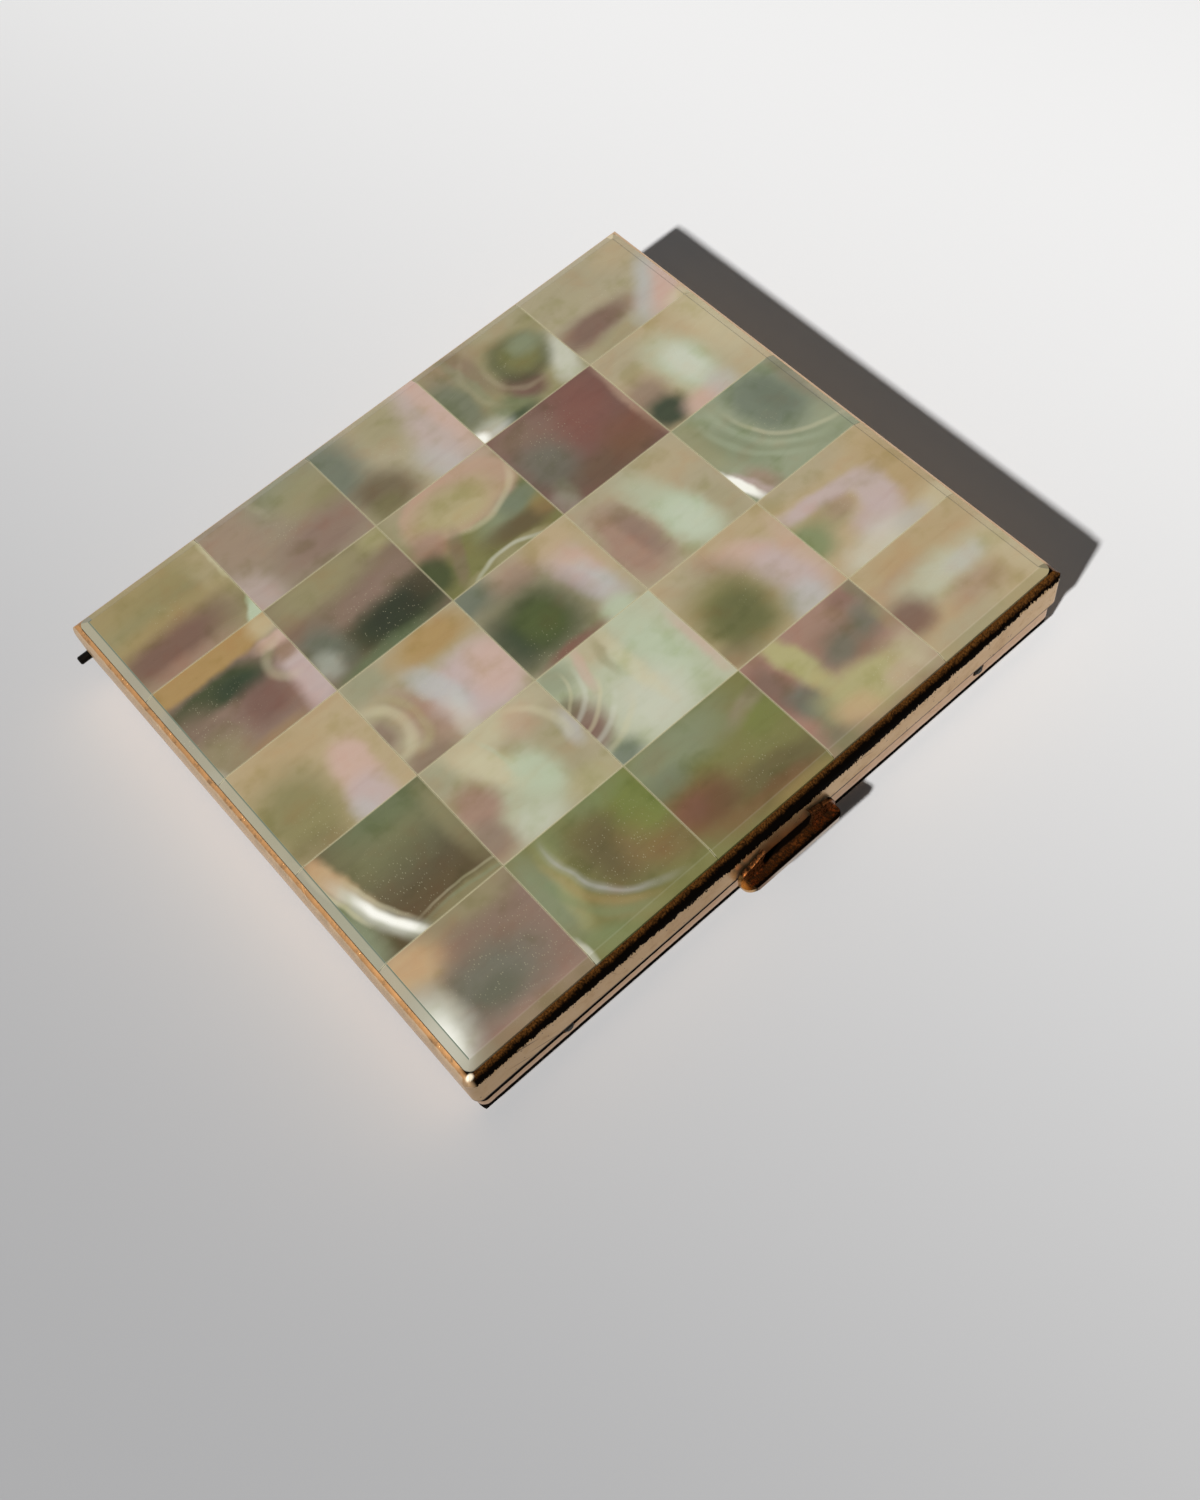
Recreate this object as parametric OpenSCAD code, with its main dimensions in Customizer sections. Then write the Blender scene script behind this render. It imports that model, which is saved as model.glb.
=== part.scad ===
// Pocket cigarette case: two drawn gilt metal shells, hinged along the back, with a lid of
// mother-of-pearl tiles, a sprung thumb catch at the front and a wire bail over the cigarettes.
// Millimetres. The origin is the middle of the flat underside, +Z is up, +Y points to the hinge
// and -Y to the catch.

/* [Case] */
// Width of the lid, along the hinge
case_w = 86; // [70:0.5:110]
// Depth of the lid, from the catch side to the hinge side
case_d = 76; // [60:0.5:110]
// Height from the underside to the top of the tiles
case_h = 13; // [12.6:0.1:16]
// Height of the line where the lid meets the tray
parting_z = 6.4; // [6.2:0.05:6.7]
// Open line between the edge of the lid and the edge of the tray
parting_gap = 0.25; // [0.1:0.05:0.4]

/* [Lid shell] */
// Thickness of the drawn sheet of the lid
lid_t = 0.6; // [0.4:0.05:0.7]
// Corner radius of the lid, seen from above
lid_corner_r = 1; // [0.9:0.1:3]
// Radius of the shoulder between the side wall and the tiles
shoulder_r = 1.6; // [1.2:0.1:1.8]
// Thickness of the recess floor under the tiles
recess_t = 0.4; // [0.3:0.05:0.5]

/* [Tray shell] */
// How far the tray wall stands inside the lid wall, on each side
tray_inset = 0.4; // [0.2:0.05:0.5]
// Thickness of the drawn sheet of the tray
tray_t = 0.6; // [0.4:0.05:0.7]
// Corner radius of the tray, seen from above
tray_corner_r = 1; // [0.9:0.1:3]
// Radius by which the tray's walls turn under
tray_roll_r = 3; // [2.5:0.1:3.4]

/* [Tiles] */
// Number of tiles along the hinge
tiles_x = 5; // [5]
// Number of tiles from the hinge to the catch
tiles_y = 5; // [5]
// Thickness of a tile
tile_t = 1; // [0.8:0.05:1.2]
// Open joint between two tiles
tile_joint = 0.05; // [0.02:0.01:0.2]
// Width of the bevel round the whole panel
bevel_w = 1.15; // [0.5:0.05:2]
// Drop of the bevel at the edge of the panel
bevel_drop = 0.5; // [0.2:0.05:0.6]
// Corner radius of the panel, seen from above
panel_corner_r = 1; // [0.8:0.05:2]
// Width of the metal shoulder left visible round the panel
rim_w = 0.9; // [0.8:0.05:1.2]
// Open joint between the panel and the metal
panel_gap = 0.06; // [0.03:0.01:0.2]
// Thickness of the plate that the tiles are bonded to
backing_t = 0.3; // [0.2:0.05:0.4]

/* [Liners] */
// Sheet thickness of both liners
liner_t = 0.3; // [0.2:0.05:0.4]
// How far the tray liner's lip stands above the parting line
lip_h = 1; // [0.6:0.1:1.2]
// Corner radius of both liners, seen from above
liner_corner_r = 1; // [0.9:0.1:2]
// Distance from the tray's wall to the liner, at the front and the back, for spring and hinge
channel_w = 1; // [0.9:0.05:1.3]
// Distance between the tray liner's lip and the lid liner's edge, in height
lip_gap = 0.3; // [0.2:0.05:0.6]
// Bend radius at the edges of the lid liner
lid_liner_bend_r = 0.9; // [0.6:0.1:1.2]

/* [Hinge] */
// Diameter of the hinge pin
pin_d = 1.1; // [0.8:0.05:1.2]
// Diameter of the hinge knuckles
knuckle_d = 2.2; // [2:0.05:2.3]
// Running clearance between the pin and a knuckle, all round
pin_play = 0.06; // [0.02:0.01:0.1]
// Distance from the outer face of the lid to the hinge axis
hinge_in = 0.6; // [0.5:0.05:0.8]
// Distance from each side of the lid to the end of the hinge barrel
barrel_side = 1.8; // [1.7:0.1:12]
// Number of knuckles, the outer two on the tray
knuckles = 5; // [3:2:9]
// Gap between neighbouring knuckles
knuckle_gap = 0.12; // [0.05:0.01:0.3]
// Thickness of the hinge leaves
leaf_t = 0.4; // [0.3:0.05:0.5]
// Gap between the top of the lid's leaf and the recess floor
leaf_head_gap = 0.9; // [0.1:0.1:2.5]
// How far the pin's end has crept out past the side of the lid
pin_creep = 1.5; // [0:0.1:3]
// Room round the knuckles in both shells
barrel_room = 0.15; // [0.1:0.05:0.2]

/* [Thumb catch] */
// Width of the thumb-piece
catch_w = 14; // [10:0.5:24]
// How far the thumb-piece stands out from the lid
catch_out = 2.4; // [1.6:0.1:4]
// Sheet thickness of the thumb-piece
catch_t = 0.5; // [0.3:0.05:0.6]
// Radius of the scoop across the thumb-piece
scoop_r = 3; // [2.8:0.1:5]
// Rise of the thumb-piece's outer edge above its root
scoop_rise = 1.5; // [0.8:0.1:1.7]
// Corner radius of the thumb-piece, seen from above
catch_corner_r = 1.5; // [0.5:0.1:2]
// Thickness of the back plate that is riveted to the spring
back_plate_t = 0.4; // [0.3:0.05:0.5]
// Width of each claw
claw_w = 3.6; // [2:0.1:4.5]
// Height of the claws above the lid's edge
claw_h = 2.4; // [1:0.1:3]
// Gap between the claws and the lid
claw_gap = 0.18; // [0.1:0.02:0.4]

/* [Catch spring] */
// Distance between the two holes in the tray's front wall
tip_span = 61.2; // [40:0.2:70]
// Diameter of the two holes
tip_hole_d = 1.7; // [1.4:0.05:2]
// Diameter of the spring's tips
tip_d = 1.2; // [0.8:0.05:1.25]
// How far the tips stand out of the tray's wall
tip_out = 0.25; // [0:0.05:0.4]
// Height of the spring's flat middle
spring_h = 1.8; // [1.5:0.1:1.9]
// Thickness of the spring's flat middle
spring_t = 0.4; // [0.3:0.05:0.45]
// How far the flat middle reaches past the catch's back plate, on each side
spring_flat_side = 1.6; // [1.2:0.1:6]
// Height of the spring's axis below the parting line
spring_drop = 1.4; // [1.3:0.05:1.6]
// Gap between the spring's flat middle and the inside of the tray's front wall
spring_gap = 0.3; // [0.2:0.05:0.35]
// Diameter of the round wire on both sides of the flat middle
spring_wire_d = 0.8; // [0.6:0.05:0.9]
// Shank diameter of the rivets
rivet_d = 0.7; // [0.5:0.05:0.8]
// Distance between the two rivets
rivet_span = 8.4; // [4:0.2:9]

/* [Bail] */
// Diameter of the bail's wire
bail_d = 0.9; // [0.7:0.05:1]
// Gap between the bail's cross-piece and the lid's liner, when the case is closed
bail_head_gap = 1.1; // [0.9:0.1:1.7]
// Gap between each arm of the bail and its eyelet
bail_side = 0.1; // [0.1:0.05:4]
// Distance of the bail's pivot behind the middle of the case
bail_pivot_y = 20; // [5:0.5:28]
// Height of the bail's pivot
bail_pivot_z = 5.5; // [3:0.1:6]
// Distance of the bail's cross-piece in front of the middle of the case
bail_front_y = 8; // [0:0.5:25]
// Bend radius at the bail's front corners
bail_bend_r = 2; // [1:0.1:4]
// Outer diameter of the eyelets that carry the bail
eyelet_d = 2.4; // [1.8:0.1:3]
// Thickness of the eyelets
eyelet_t = 0.45; // [0.3:0.05:0.5]
// Clearance of the wire in its eyelet, all round
eyelet_play = 0.07; // [0.02:0.01:0.1]

/* [Hidden] */
$fn = 48;
far = 200;
skin = 0.01;

tile_names = [for (row = [1:tiles_y], col = [1:tiles_x]) str("tile_r", row, "_c", col)];

// Tile panel and the stack of plates under it
panel_w = case_w - 2 * (rim_w + panel_gap);
panel_d = case_d - 2 * (rim_w + panel_gap);
tile_z = case_h - tile_t;
backing_z = tile_z - backing_t;
recess_z = backing_z - recess_t;

// Lid
lid_z = parting_z + parting_gap / 2;
lid_top_z = case_h - bevel_drop - panel_gap;
lid_in_w = case_w - 2 * lid_t;
lid_in_d = case_d - 2 * lid_t;
opening_corner_r = panel_corner_r + panel_gap;

// Tray
tray_w = case_w - 2 * tray_inset;
tray_d = case_d - 2 * tray_inset;
tray_z = parting_z - parting_gap / 2;
tray_in_w = tray_w - 2 * tray_t;
tray_in_d = tray_d - 2 * tray_t;
tray_front_y = -tray_d / 2;
tray_front_in_y = -tray_in_d / 2;

// Liners
tray_liner_w = tray_in_w;
tray_liner_d = tray_in_d - 2 * channel_w;
tray_liner_z = parting_z + lip_h;
lid_liner_z = recess_z - liner_t;
lid_liner_edge_z = tray_liner_z + lip_gap;
lid_liner_back_y = lid_in_d / 2 - leaf_t;
lid_liner_d = lid_in_d / 2 + lid_liner_back_y;

// Hinge
hinge_y = case_d / 2 - hinge_in;
hinge_z = parting_z;
knuckle_r = knuckle_d / 2;
leaf_h = recess_z - leaf_head_gap - hinge_z;
barrel_l = case_w - 2 * barrel_side;
bore_r = pin_d / 2 + pin_play;
knuckle_l = (barrel_l - (knuckles - 1) * knuckle_gap) / knuckles;
cut_r = knuckle_r + barrel_room;

// Thumb catch
wall_y = -case_d / 2;
scoop_thick_r = scoop_r + catch_t / 2;
scoop_thin_r = scoop_r - catch_t / 2;
catch_tip_y = wall_y - catch_out;
root_z = parting_z - 1;
scoop_half_angle = asin(sqrt(pow(catch_out, 2) + pow(scoop_rise, 2)) / 2 / scoop_r);
scoop_chord_angle = atan2(scoop_rise, catch_out);
scoop_y = wall_y - scoop_r * sin(scoop_chord_angle - scoop_half_angle);
scoop_z = root_z + scoop_r * cos(scoop_chord_angle - scoop_half_angle);
spring_z = parting_z - spring_drop;
spring_front_y = tray_front_in_y + spring_gap;
spring_y = spring_front_y + spring_t / 2;
back_plate_y = spring_front_y - back_plate_t;
back_plate_z = spring_z - spring_h / 2;
back_plate_top_z = scoop_z - sqrt(pow(scoop_r, 2) - pow(back_plate_y - scoop_y, 2));
notch_play = 0.3;
root_side = 1.1;
root_w = catch_w - 2 * root_side;
spring_flat_l = root_w + 2 * spring_flat_side;
rivet_drop = 0.25;
rivet_z = spring_z - rivet_drop;
rivet_play = 0.01;
scoop_end_z = scoop_z - scoop_r / 4;
claw_y = wall_y - claw_gap;
claw_top_z = lid_z + claw_h;
claw_round = 0.45;
horn_h = 0.4 * claw_h;
horn_lean = 0.15;
horn_throat = 0.35;
horn_throat_drop = 0.5;

// Bail
bail_r = bail_d / 2;
liner_in_x = tray_liner_w / 2 - liner_t;
bail_x = liner_in_x - eyelet_t - bail_side - bail_r;
bail_front_z = lid_liner_z - bail_head_gap - bail_r;
bail_l = sqrt(pow(bail_pivot_y + bail_front_y, 2) + pow(bail_front_z - bail_pivot_z, 2));
bail_rise = atan2(bail_front_z - bail_pivot_z, bail_pivot_y + bail_front_y);
bail_end_play = 0.1;
bail_pin_x = liner_in_x - bail_end_play;

// A rectangle with round corners, flat
module rounded_rect(w, d, r) {
    square([w - 2 * r, d], center = true);
    square([w, d - 2 * r], center = true);
    for (sx = [-1, 1], sy = [-1, 1])
        translate([sx * (w / 2 - r), sy * (d / 2 - r)])
            circle(r);
}

// Extrudes a flat (y, z) section along X, centred
module along_x(length) {
    translate([-length / 2, 0, 0])
        rotate([90, 0, 90])
            linear_extrude(length)
                children();
}

// Extrudes a flat (x, z) section along Y, centred
module along_y(length) {
    translate([0, length / 2, 0])
        rotate([90, 0, 0])
            linear_extrude(length)
                children();
}

// Section of a block whose two lower edges are rolled with radius q
module rolled_section(w, h, q) {
    translate([-w / 2, q])
        square([w, h - q]);
    translate([-w / 2 + q, 0])
        square([w - 2 * q, h]);
    for (side = [-1, 1])
        translate([side * (w / 2 - q), q])
            circle(q);
}

// A block on z = 0 with all four lower edges rolled: two sections cross, so that the rolls meet in
// a mitre at the corners, and a rounded rectangle trims the four upright edges
module rolled_block(w, d, h, r, q) {
    intersection() {
        along_x(w)
            rolled_section(d, h, q);
        along_y(d)
            rolled_section(w, h, q);
        linear_extrude(h)
            rounded_rect(w, d, r);
    }
}

// A pressed pan of sheet t, open at the top, standing on z = 0
module pan(w, d, h, r, q, t) {
    difference() {
        rolled_block(w, d, h, r, q);
        translate([0, 0, t])
            rolled_block(w - 2 * t, d - 2 * t, h, r - t, q - t);
    }
}

// Room for the hinge barrel in both shells, along the whole back
module barrel_room_cut() {
    translate([0, hinge_y, hinge_z])
        rotate([0, 90, 0])
            cylinder(r = cut_r, h = far, center = true);
}

// Section of the tile panel, bevelled at both ends
module bevelled_section(w) {
    polygon([[-w / 2, 0], [w / 2, 0], [w / 2, tile_t - bevel_drop], [w / 2 - bevel_w, tile_t],
             [bevel_w - w / 2, tile_t], [-w / 2, tile_t - bevel_drop]]);
}

// The tile panel in one piece: flat top, bevelled round its edge with mitred corners
module panel() {
    translate([0, 0, tile_z])
        intersection() {
            along_x(panel_w)
                bevelled_section(panel_d);
            along_y(panel_d)
                bevelled_section(panel_w);
            linear_extrude(tile_t)
                rounded_rect(panel_w, panel_d, panel_corner_r);
        }
}

// One tile; row 1 lies along the hinge and column 1 at the left, seen from the catch
module tile(row, col) {
    pitch_x = panel_w / tiles_x;
    pitch_y = panel_d / tiles_y;
    color("palegoldenrod")
        intersection() {
            panel();
            translate([-panel_w / 2 + (col - 0.5) * pitch_x, panel_d / 2 - (row - 0.5) * pitch_y,
                       case_h])
                cube([pitch_x - tile_joint, pitch_y - tile_joint, 4 * tile_t], center = true);
        }
}

module tile_backing() {
    color("darkgoldenrod")
        translate([0, 0, backing_z])
            linear_extrude(backing_t)
                rounded_rect(panel_w, panel_d, panel_corner_r);
}

// Side wall, rounded shoulder and sunk floor for the tiles
module lid_frame() {
    color("tan")
        difference() {
            union() {
                difference() {
                    translate([0, 0, lid_top_z])
                        mirror([0, 0, 1])
                            pan(case_w, case_d, lid_top_z - lid_z, lid_corner_r, shoulder_r, lid_t);
                    translate([0, 0, backing_z - skin])
                        linear_extrude(far)
                            rounded_rect(panel_w + 2 * panel_gap, panel_d + 2 * panel_gap,
                                         opening_corner_r);
                }
                translate([0, 0, recess_z])
                    linear_extrude(recess_t)
                        rounded_rect(lid_in_w, lid_in_d, lid_corner_r - lid_t);
            }
            barrel_room_cut();
        }
}

// Shallow pan that lines the lid, set in front of the hinge leaf
module lid_liner() {
    color("gold")
        translate([0, (lid_liner_back_y - lid_in_d / 2) / 2, recess_z])
            mirror([0, 0, 1])
                pan(lid_in_w, lid_liner_d, recess_z - lid_liner_edge_z, liner_corner_r,
                    lid_liner_bend_r, liner_t);
}

// One knuckle of the barrel, counted from the left
module knuckle(index) {
    translate([-barrel_l / 2 + index * (knuckle_l + knuckle_gap), hinge_y, hinge_z])
        rotate([0, 90, 0])
            cylinder(r = knuckle_r, h = knuckle_l);
}

// The bore through every knuckle
module hinge_bore() {
    translate([0, hinge_y, hinge_z])
        rotate([0, 90, 0])
            cylinder(r = bore_r, h = far, center = true);
}

// Leaf inside the lid's back wall: the plate stays clear of the tray's knuckles
module lid_hinge_leaf() {
    leaf_y = lid_in_d / 2 - leaf_t;
    leaf_l = min(barrel_l, lid_in_w - 2 * (lid_corner_r - lid_t));
    color("peru")
        difference() {
            union() {
                for (index = [1:2:knuckles - 2]) {
                    knuckle(index);
                    translate([-barrel_l / 2 + index * (knuckle_l + knuckle_gap), leaf_y, hinge_z])
                        cube([knuckle_l, leaf_t, leaf_h]);
                }
                difference() {
                    translate([-leaf_l / 2, leaf_y, hinge_z])
                        cube([leaf_l, leaf_t, leaf_h]);
                    barrel_room_cut();
                }
            }
            hinge_bore();
        }
}

// Leaf inside the tray's back wall, below the barrel; it ends where the tray's corners begin
module tray_hinge_leaf() {
    leaf_y = tray_in_d / 2 - leaf_t;
    leaf_foot_z = tray_roll_r;
    leaf_rise = hinge_z - leaf_foot_z;
    leaf_l = min(barrel_l, tray_w - 2 * tray_corner_r);
    color("peru")
        difference() {
            union() {
                for (index = [0:2:knuckles - 1])
                    knuckle(index);
                intersection() {
                    for (index = [0:2:knuckles - 1])
                        translate([-barrel_l / 2 + index * (knuckle_l + knuckle_gap), leaf_y,
                                   leaf_foot_z])
                            cube([knuckle_l, leaf_t, leaf_rise]);
                    translate([-leaf_l / 2, leaf_y, leaf_foot_z])
                        cube([leaf_l, leaf_t, leaf_rise]);
                }
                difference() {
                    translate([-leaf_l / 2, leaf_y, leaf_foot_z])
                        cube([leaf_l, leaf_t, leaf_rise]);
                    barrel_room_cut();
                }
            }
            hinge_bore();
        }
}

// Plain wire pin; its left end stands out past the case
module hinge_pin() {
    pin_left_x = -case_w / 2 - pin_creep;
    pin_right_x = barrel_l / 2;
    pin_chamfer = 0.15;
    color("dimgray")
        translate([pin_left_x, hinge_y, hinge_z])
            rotate([0, 90, 0]) {
                cylinder(r1 = pin_d / 2 - pin_chamfer, r2 = pin_d / 2, h = pin_chamfer);
                translate([0, 0, pin_chamfer])
                    cylinder(r = pin_d / 2, h = pin_right_x - pin_left_x - pin_chamfer);
            }
}

// Drawn pan with its edge turned under, a notch for the catch and two holes for the spring's tips
module tray_shell() {
    notch_w = root_w + 2 * notch_play;
    notch_z = back_plate_z - notch_play;
    color("tan")
        difference() {
            pan(tray_w, tray_d, tray_z, tray_corner_r, tray_roll_r, tray_t);
            barrel_room_cut();
            translate([-notch_w / 2, tray_front_y - far / 2, notch_z])
                cube([notch_w, far / 2 + 2 * tray_t, far]);
            for (side = [-1, 1])
                translate([side * tip_span / 2, tray_front_y + 2 * tray_t, spring_z])
                    rotate([90, 0, 0])
                        cylinder(r = tip_hole_d / 2, h = 4 * tray_t);
        }
}

// Pan that the cigarettes lie in; its lip stands up inside the closed lid
module tray_liner() {
    color("gold")
        translate([0, 0, tray_t])
            pan(tray_liner_w, tray_liner_d, tray_liner_z - tray_t, liner_corner_r,
                tray_roll_r - tray_t, liner_t);
}

// Cross-section of the scooped sheet, from inside the notch to its outer edge
module scoop_section(inner_y) {
    difference() {
        translate([scoop_y, scoop_z])
            circle(scoop_thick_r);
        translate([scoop_y, scoop_z])
            circle(scoop_thin_r);
        translate([scoop_y - far, scoop_end_z])
            square([2 * far, far]);
        translate([inner_y, -far / 2])
            square([far, 2 * far]);
        translate([catch_tip_y - far, -far / 2])
            square([far, far * 2]);
    }
}

// One claw, standing in front of the lid: low and round outside, highest inside, with a short horn
module claw(side) {
    outer_x = catch_w / 2;
    inner_x = outer_x - claw_w;
    shoulder = claw_round * claw_w;
    claw_foot_z = scoop_z - sqrt(pow(scoop_r, 2) - pow(claw_y - scoop_y, 2));
    low_z = claw_top_z - horn_h;
    scale([side, 1, 1])
        translate([0, claw_y, 0])
            rotate([90, 0, 0])
                linear_extrude(catch_t)
                    union() {
                        polygon([[inner_x, claw_foot_z], [outer_x, claw_foot_z],
                                 [outer_x, low_z - shoulder], [outer_x - shoulder, low_z],
                                 [inner_x - horn_lean, claw_top_z],
                                 [inner_x + horn_throat, low_z - horn_throat_drop]]);
                        translate([outer_x - shoulder, low_z - shoulder])
                            intersection() {
                                circle(shoulder);
                                square(shoulder);
                            }
                    }
}

// Thumb-piece: scooped sheet with two claws and a back plate, riveted to the spring
module thumb_catch() {
    color("sienna")
        difference() {
            union() {
                intersection() {
                    along_x(catch_w)
                        scoop_section(claw_y);
                    translate([0, catch_tip_y + far / 2, -far / 2])
                        linear_extrude(far)
                            rounded_rect(catch_w, far, catch_corner_r);
                }
                along_x(root_w)
                    scoop_section(spring_front_y);
                translate([-root_w / 2, back_plate_y, back_plate_z])
                    cube([root_w, spring_front_y - back_plate_y, back_plate_top_z - back_plate_z]);
                for (side = [-1, 1])
                    claw(side);
            }
            rivet_holes();
        }
}

module rivet_holes() {
    for (side = [-1, 1])
        translate([side * rivet_span / 2, spring_y, rivet_z])
            rotate([90, 0, 0])
                cylinder(r = rivet_d / 2 + rivet_play, h = far, center = true);
}

// Torsion spring: a round wire, hammered flat in its middle for the rivets, with a round tip at
// each end that points forward into a hole of the tray; the wire's heel is rounded behind the tip
module catch_spring() {
    tip_back_y = spring_y + spring_wire_d / 4;
    tip_end_y = tray_front_y - tip_out;
    tip_chamfer = tip_d / 6;
    tip_l = tip_back_y - tip_end_y;
    wire_x = spring_flat_l / 2 - spring_wire_d;
    color("slategray")
        difference() {
            union() {
                translate([0, spring_y, spring_z])
                    cube([spring_flat_l, spring_t, spring_h], center = true);
                for (side = [-1, 1])
                    scale([side, 1, 1]) {
                        translate([wire_x, spring_y, spring_z])
                            rotate([0, 90, 0])
                                cylinder(r = spring_wire_d / 2, h = tip_span / 2 - wire_x);
                        translate([tip_span / 2, spring_y, spring_z])
                            sphere(spring_wire_d / 2);
                        translate([tip_span / 2, tip_back_y, spring_z])
                            rotate([90, 0, 0]) {
                                cylinder(r = tip_d / 2, h = tip_l - tip_chamfer);
                                translate([0, 0, tip_l - tip_chamfer])
                                    cylinder(r1 = tip_d / 2, r2 = tip_d / 2 - tip_chamfer,
                                             h = tip_chamfer);
                            }
                    }
            }
            rivet_holes();
        }
}

// Two rivets through the back plate and the spring, low enough to stay under the scoop
module catch_rivets() {
    head_t = 0.25;
    head_r = 0.75 * rivet_d;
    tail_t = 0.12;
    grip = spring_t + spring_front_y - back_plate_y;
    color("silver")
        for (side = [-1, 1])
            translate([side * rivet_span / 2, spring_front_y + spring_t, rivet_z])
                rotate([90, 0, 0]) {
                    cylinder(r = rivet_d / 2, h = grip);
                    translate([0, 0, -tail_t])
                        cylinder(r = head_r, h = tail_t);
                    translate([0, 0, grip])
                        cylinder(r1 = head_r, r2 = rivet_d / 2, h = head_t);
                }
}

// Wire U over the cigarettes, drawn flat in its own plane and then tipped up from its pivot
module cigarette_bail() {
    arm_l = bail_l - bail_bend_r;
    color("goldenrod")
        translate([0, bail_pivot_y, bail_pivot_z])
            rotate([-bail_rise, 0, 0]) {
                for (side = [-1, 1])
                    scale([side, 1, 1]) {
                        translate([bail_x, 0, 0])
                            sphere(bail_r);
                        translate([bail_x, 0, 0])
                            rotate([0, 90, 0])
                                cylinder(r = bail_r, h = bail_pin_x - bail_x);
                        translate([bail_x, 0, 0])
                            rotate([90, 0, 0])
                                cylinder(r = bail_r, h = arm_l);
                        translate([bail_x - bail_bend_r, -arm_l, 0])
                            rotate([0, 0, -90])
                                rotate_extrude(angle = 90)
                                    translate([bail_bend_r, 0])
                                        circle(bail_r);
                    }
                translate([0, -bail_l, 0])
                    rotate([0, 90, 0])
                        cylinder(r = bail_r, h = 2 * (bail_x - bail_bend_r), center = true);
            }
}

// Eyelet soldered to the inside of the tray liner's side wall
module bail_eyelet(side) {
    color("darkgoldenrod")
        translate([side * liner_in_x, bail_pivot_y, bail_pivot_z])
            rotate([0, -90 * side, 0])
                difference() {
                    cylinder(r = eyelet_d / 2, h = eyelet_t);
                    translate([0, 0, -eyelet_t])
                        cylinder(r = bail_r + eyelet_play, h = 3 * eyelet_t);
                }
}

lid_frame();
tile_backing();
lid_liner();
lid_hinge_leaf();
tray_shell();
tray_liner();
tray_hinge_leaf();
hinge_pin();
thumb_catch();
catch_spring();
catch_rivets();
cigarette_bail();
bail_eyelet(-1);  // bail_eyelet_left
bail_eyelet(1);  // bail_eyelet_right
for (row = [1:tiles_y], col = [1:tiles_x])
    tile(row, col);
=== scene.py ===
"""Looks of the mother-of-pearl cigarette case: nacre tiles, worn gilt shells, catch, hinge and inside.

Metres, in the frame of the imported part: the case rests on z = 0, +Y points to the hinge and -Y to
the catch, and X runs along the hinge.
"""
import math

import bpy
import numpy as np
from mathutils import Matrix, Vector


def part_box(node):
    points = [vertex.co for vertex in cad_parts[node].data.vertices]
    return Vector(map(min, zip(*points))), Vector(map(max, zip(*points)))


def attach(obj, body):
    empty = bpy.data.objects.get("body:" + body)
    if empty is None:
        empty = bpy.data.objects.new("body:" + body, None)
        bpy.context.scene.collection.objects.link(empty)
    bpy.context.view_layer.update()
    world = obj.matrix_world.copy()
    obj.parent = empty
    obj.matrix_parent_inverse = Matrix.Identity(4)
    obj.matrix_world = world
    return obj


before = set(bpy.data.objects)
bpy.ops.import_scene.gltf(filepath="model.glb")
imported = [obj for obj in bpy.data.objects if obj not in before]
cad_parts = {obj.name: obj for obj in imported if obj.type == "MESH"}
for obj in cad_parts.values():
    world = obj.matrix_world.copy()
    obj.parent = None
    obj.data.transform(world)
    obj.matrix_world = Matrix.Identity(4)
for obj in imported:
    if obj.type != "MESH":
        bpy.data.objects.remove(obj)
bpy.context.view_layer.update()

MM = 0.001
TILE_ROWS = 5
TILE_COLS = 5

lid_low, lid_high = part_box("lid_frame")
tray_low, tray_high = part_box("tray_shell")
catch_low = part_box("thumb_catch")[0]
first_low, first_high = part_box("tile_r1_c1")
panel_top_z = first_high[2]
panel_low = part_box("tile_r5_c1")[0]
panel_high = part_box("tile_r1_c5")[1]
lid_left_x, lid_front_y, lid_foot_z = (float(part) for part in lid_low)
rim_z = float(lid_high[2])


# Colours

def rgb(red, green, blue):
    """A display colour of 0 to 255 as the linear colour that a shader takes."""
    def linear(part):
        part = part / 255
        return part / 12.92 if part <= 0.04045 else ((part + 0.055) / 1.055) ** 2.4
    return (linear(red), linear(green), linear(blue), 1.0)


BLACK = (0, 0, 0, 1)
WHITE = (1, 1, 1, 1)

NACRE = {name: rgb(*tone) for name, tone in {
    # white is the colour of the painted glints on the tiles
    "white": (252, 252, 244), "frost": (206, 208, 194), "cream": (202, 196, 164),
    "celadon": (180, 184, 158), "mint": (180, 192, 166), "ice": (182, 182, 180),
    "lilac": (188, 170, 166), "pink": (196, 168, 154), "blush": (180, 152, 130),
    "peach": (190, 162, 124), "sand": (178, 160, 126), "gold": (166, 136, 86),
    "beige": (168, 158, 130), "straw": (174, 170, 120), "khaki": (146, 139, 102),
    "olive": (118, 116, 70), "jade": (118, 132, 92), "leaf": (106, 122, 54),
    "sage": (130, 138, 110), "fern": (98, 110, 78), "slate": (96, 106, 92), "moss": (58, 68, 36),
    "pine": (40, 56, 38), "night": (24, 30, 20), "umber": (90, 76, 50), "bark": (64, 54, 34),
    "sienna": (116, 76, 52), "wine": (122, 80, 70), "plum": (112, 82, 72), "mauve": (134, 112, 98),
    "taupe": (124, 106, 88), "drab": (146, 133, 112), "rose": (156, 126, 110),
}.items()}
LEFT_BEVEL_GREY = rgb(146, 143, 126)
CEMENT_DARK = rgb(150, 138, 104)
CEMENT_PALE = rgb(206, 198, 160)

GILT = rgb(176, 142, 98)
GILT_PALE = rgb(198, 166, 124)
GILT_BROWN = rgb(150, 116, 74)
GILT_SCRATCH = rgb(70, 44, 20)
# Dark of the pits, and of the painted shade and painted reflections of dark on the shells
TARNISH_AND_PAINTED_DARK = rgb(9, 6, 4)

# Painted reflections and highlights on the lid's shoulder and front, painted shade at its lower lip, and a
# painted glint; the dark brown also spots the left shoulder
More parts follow.
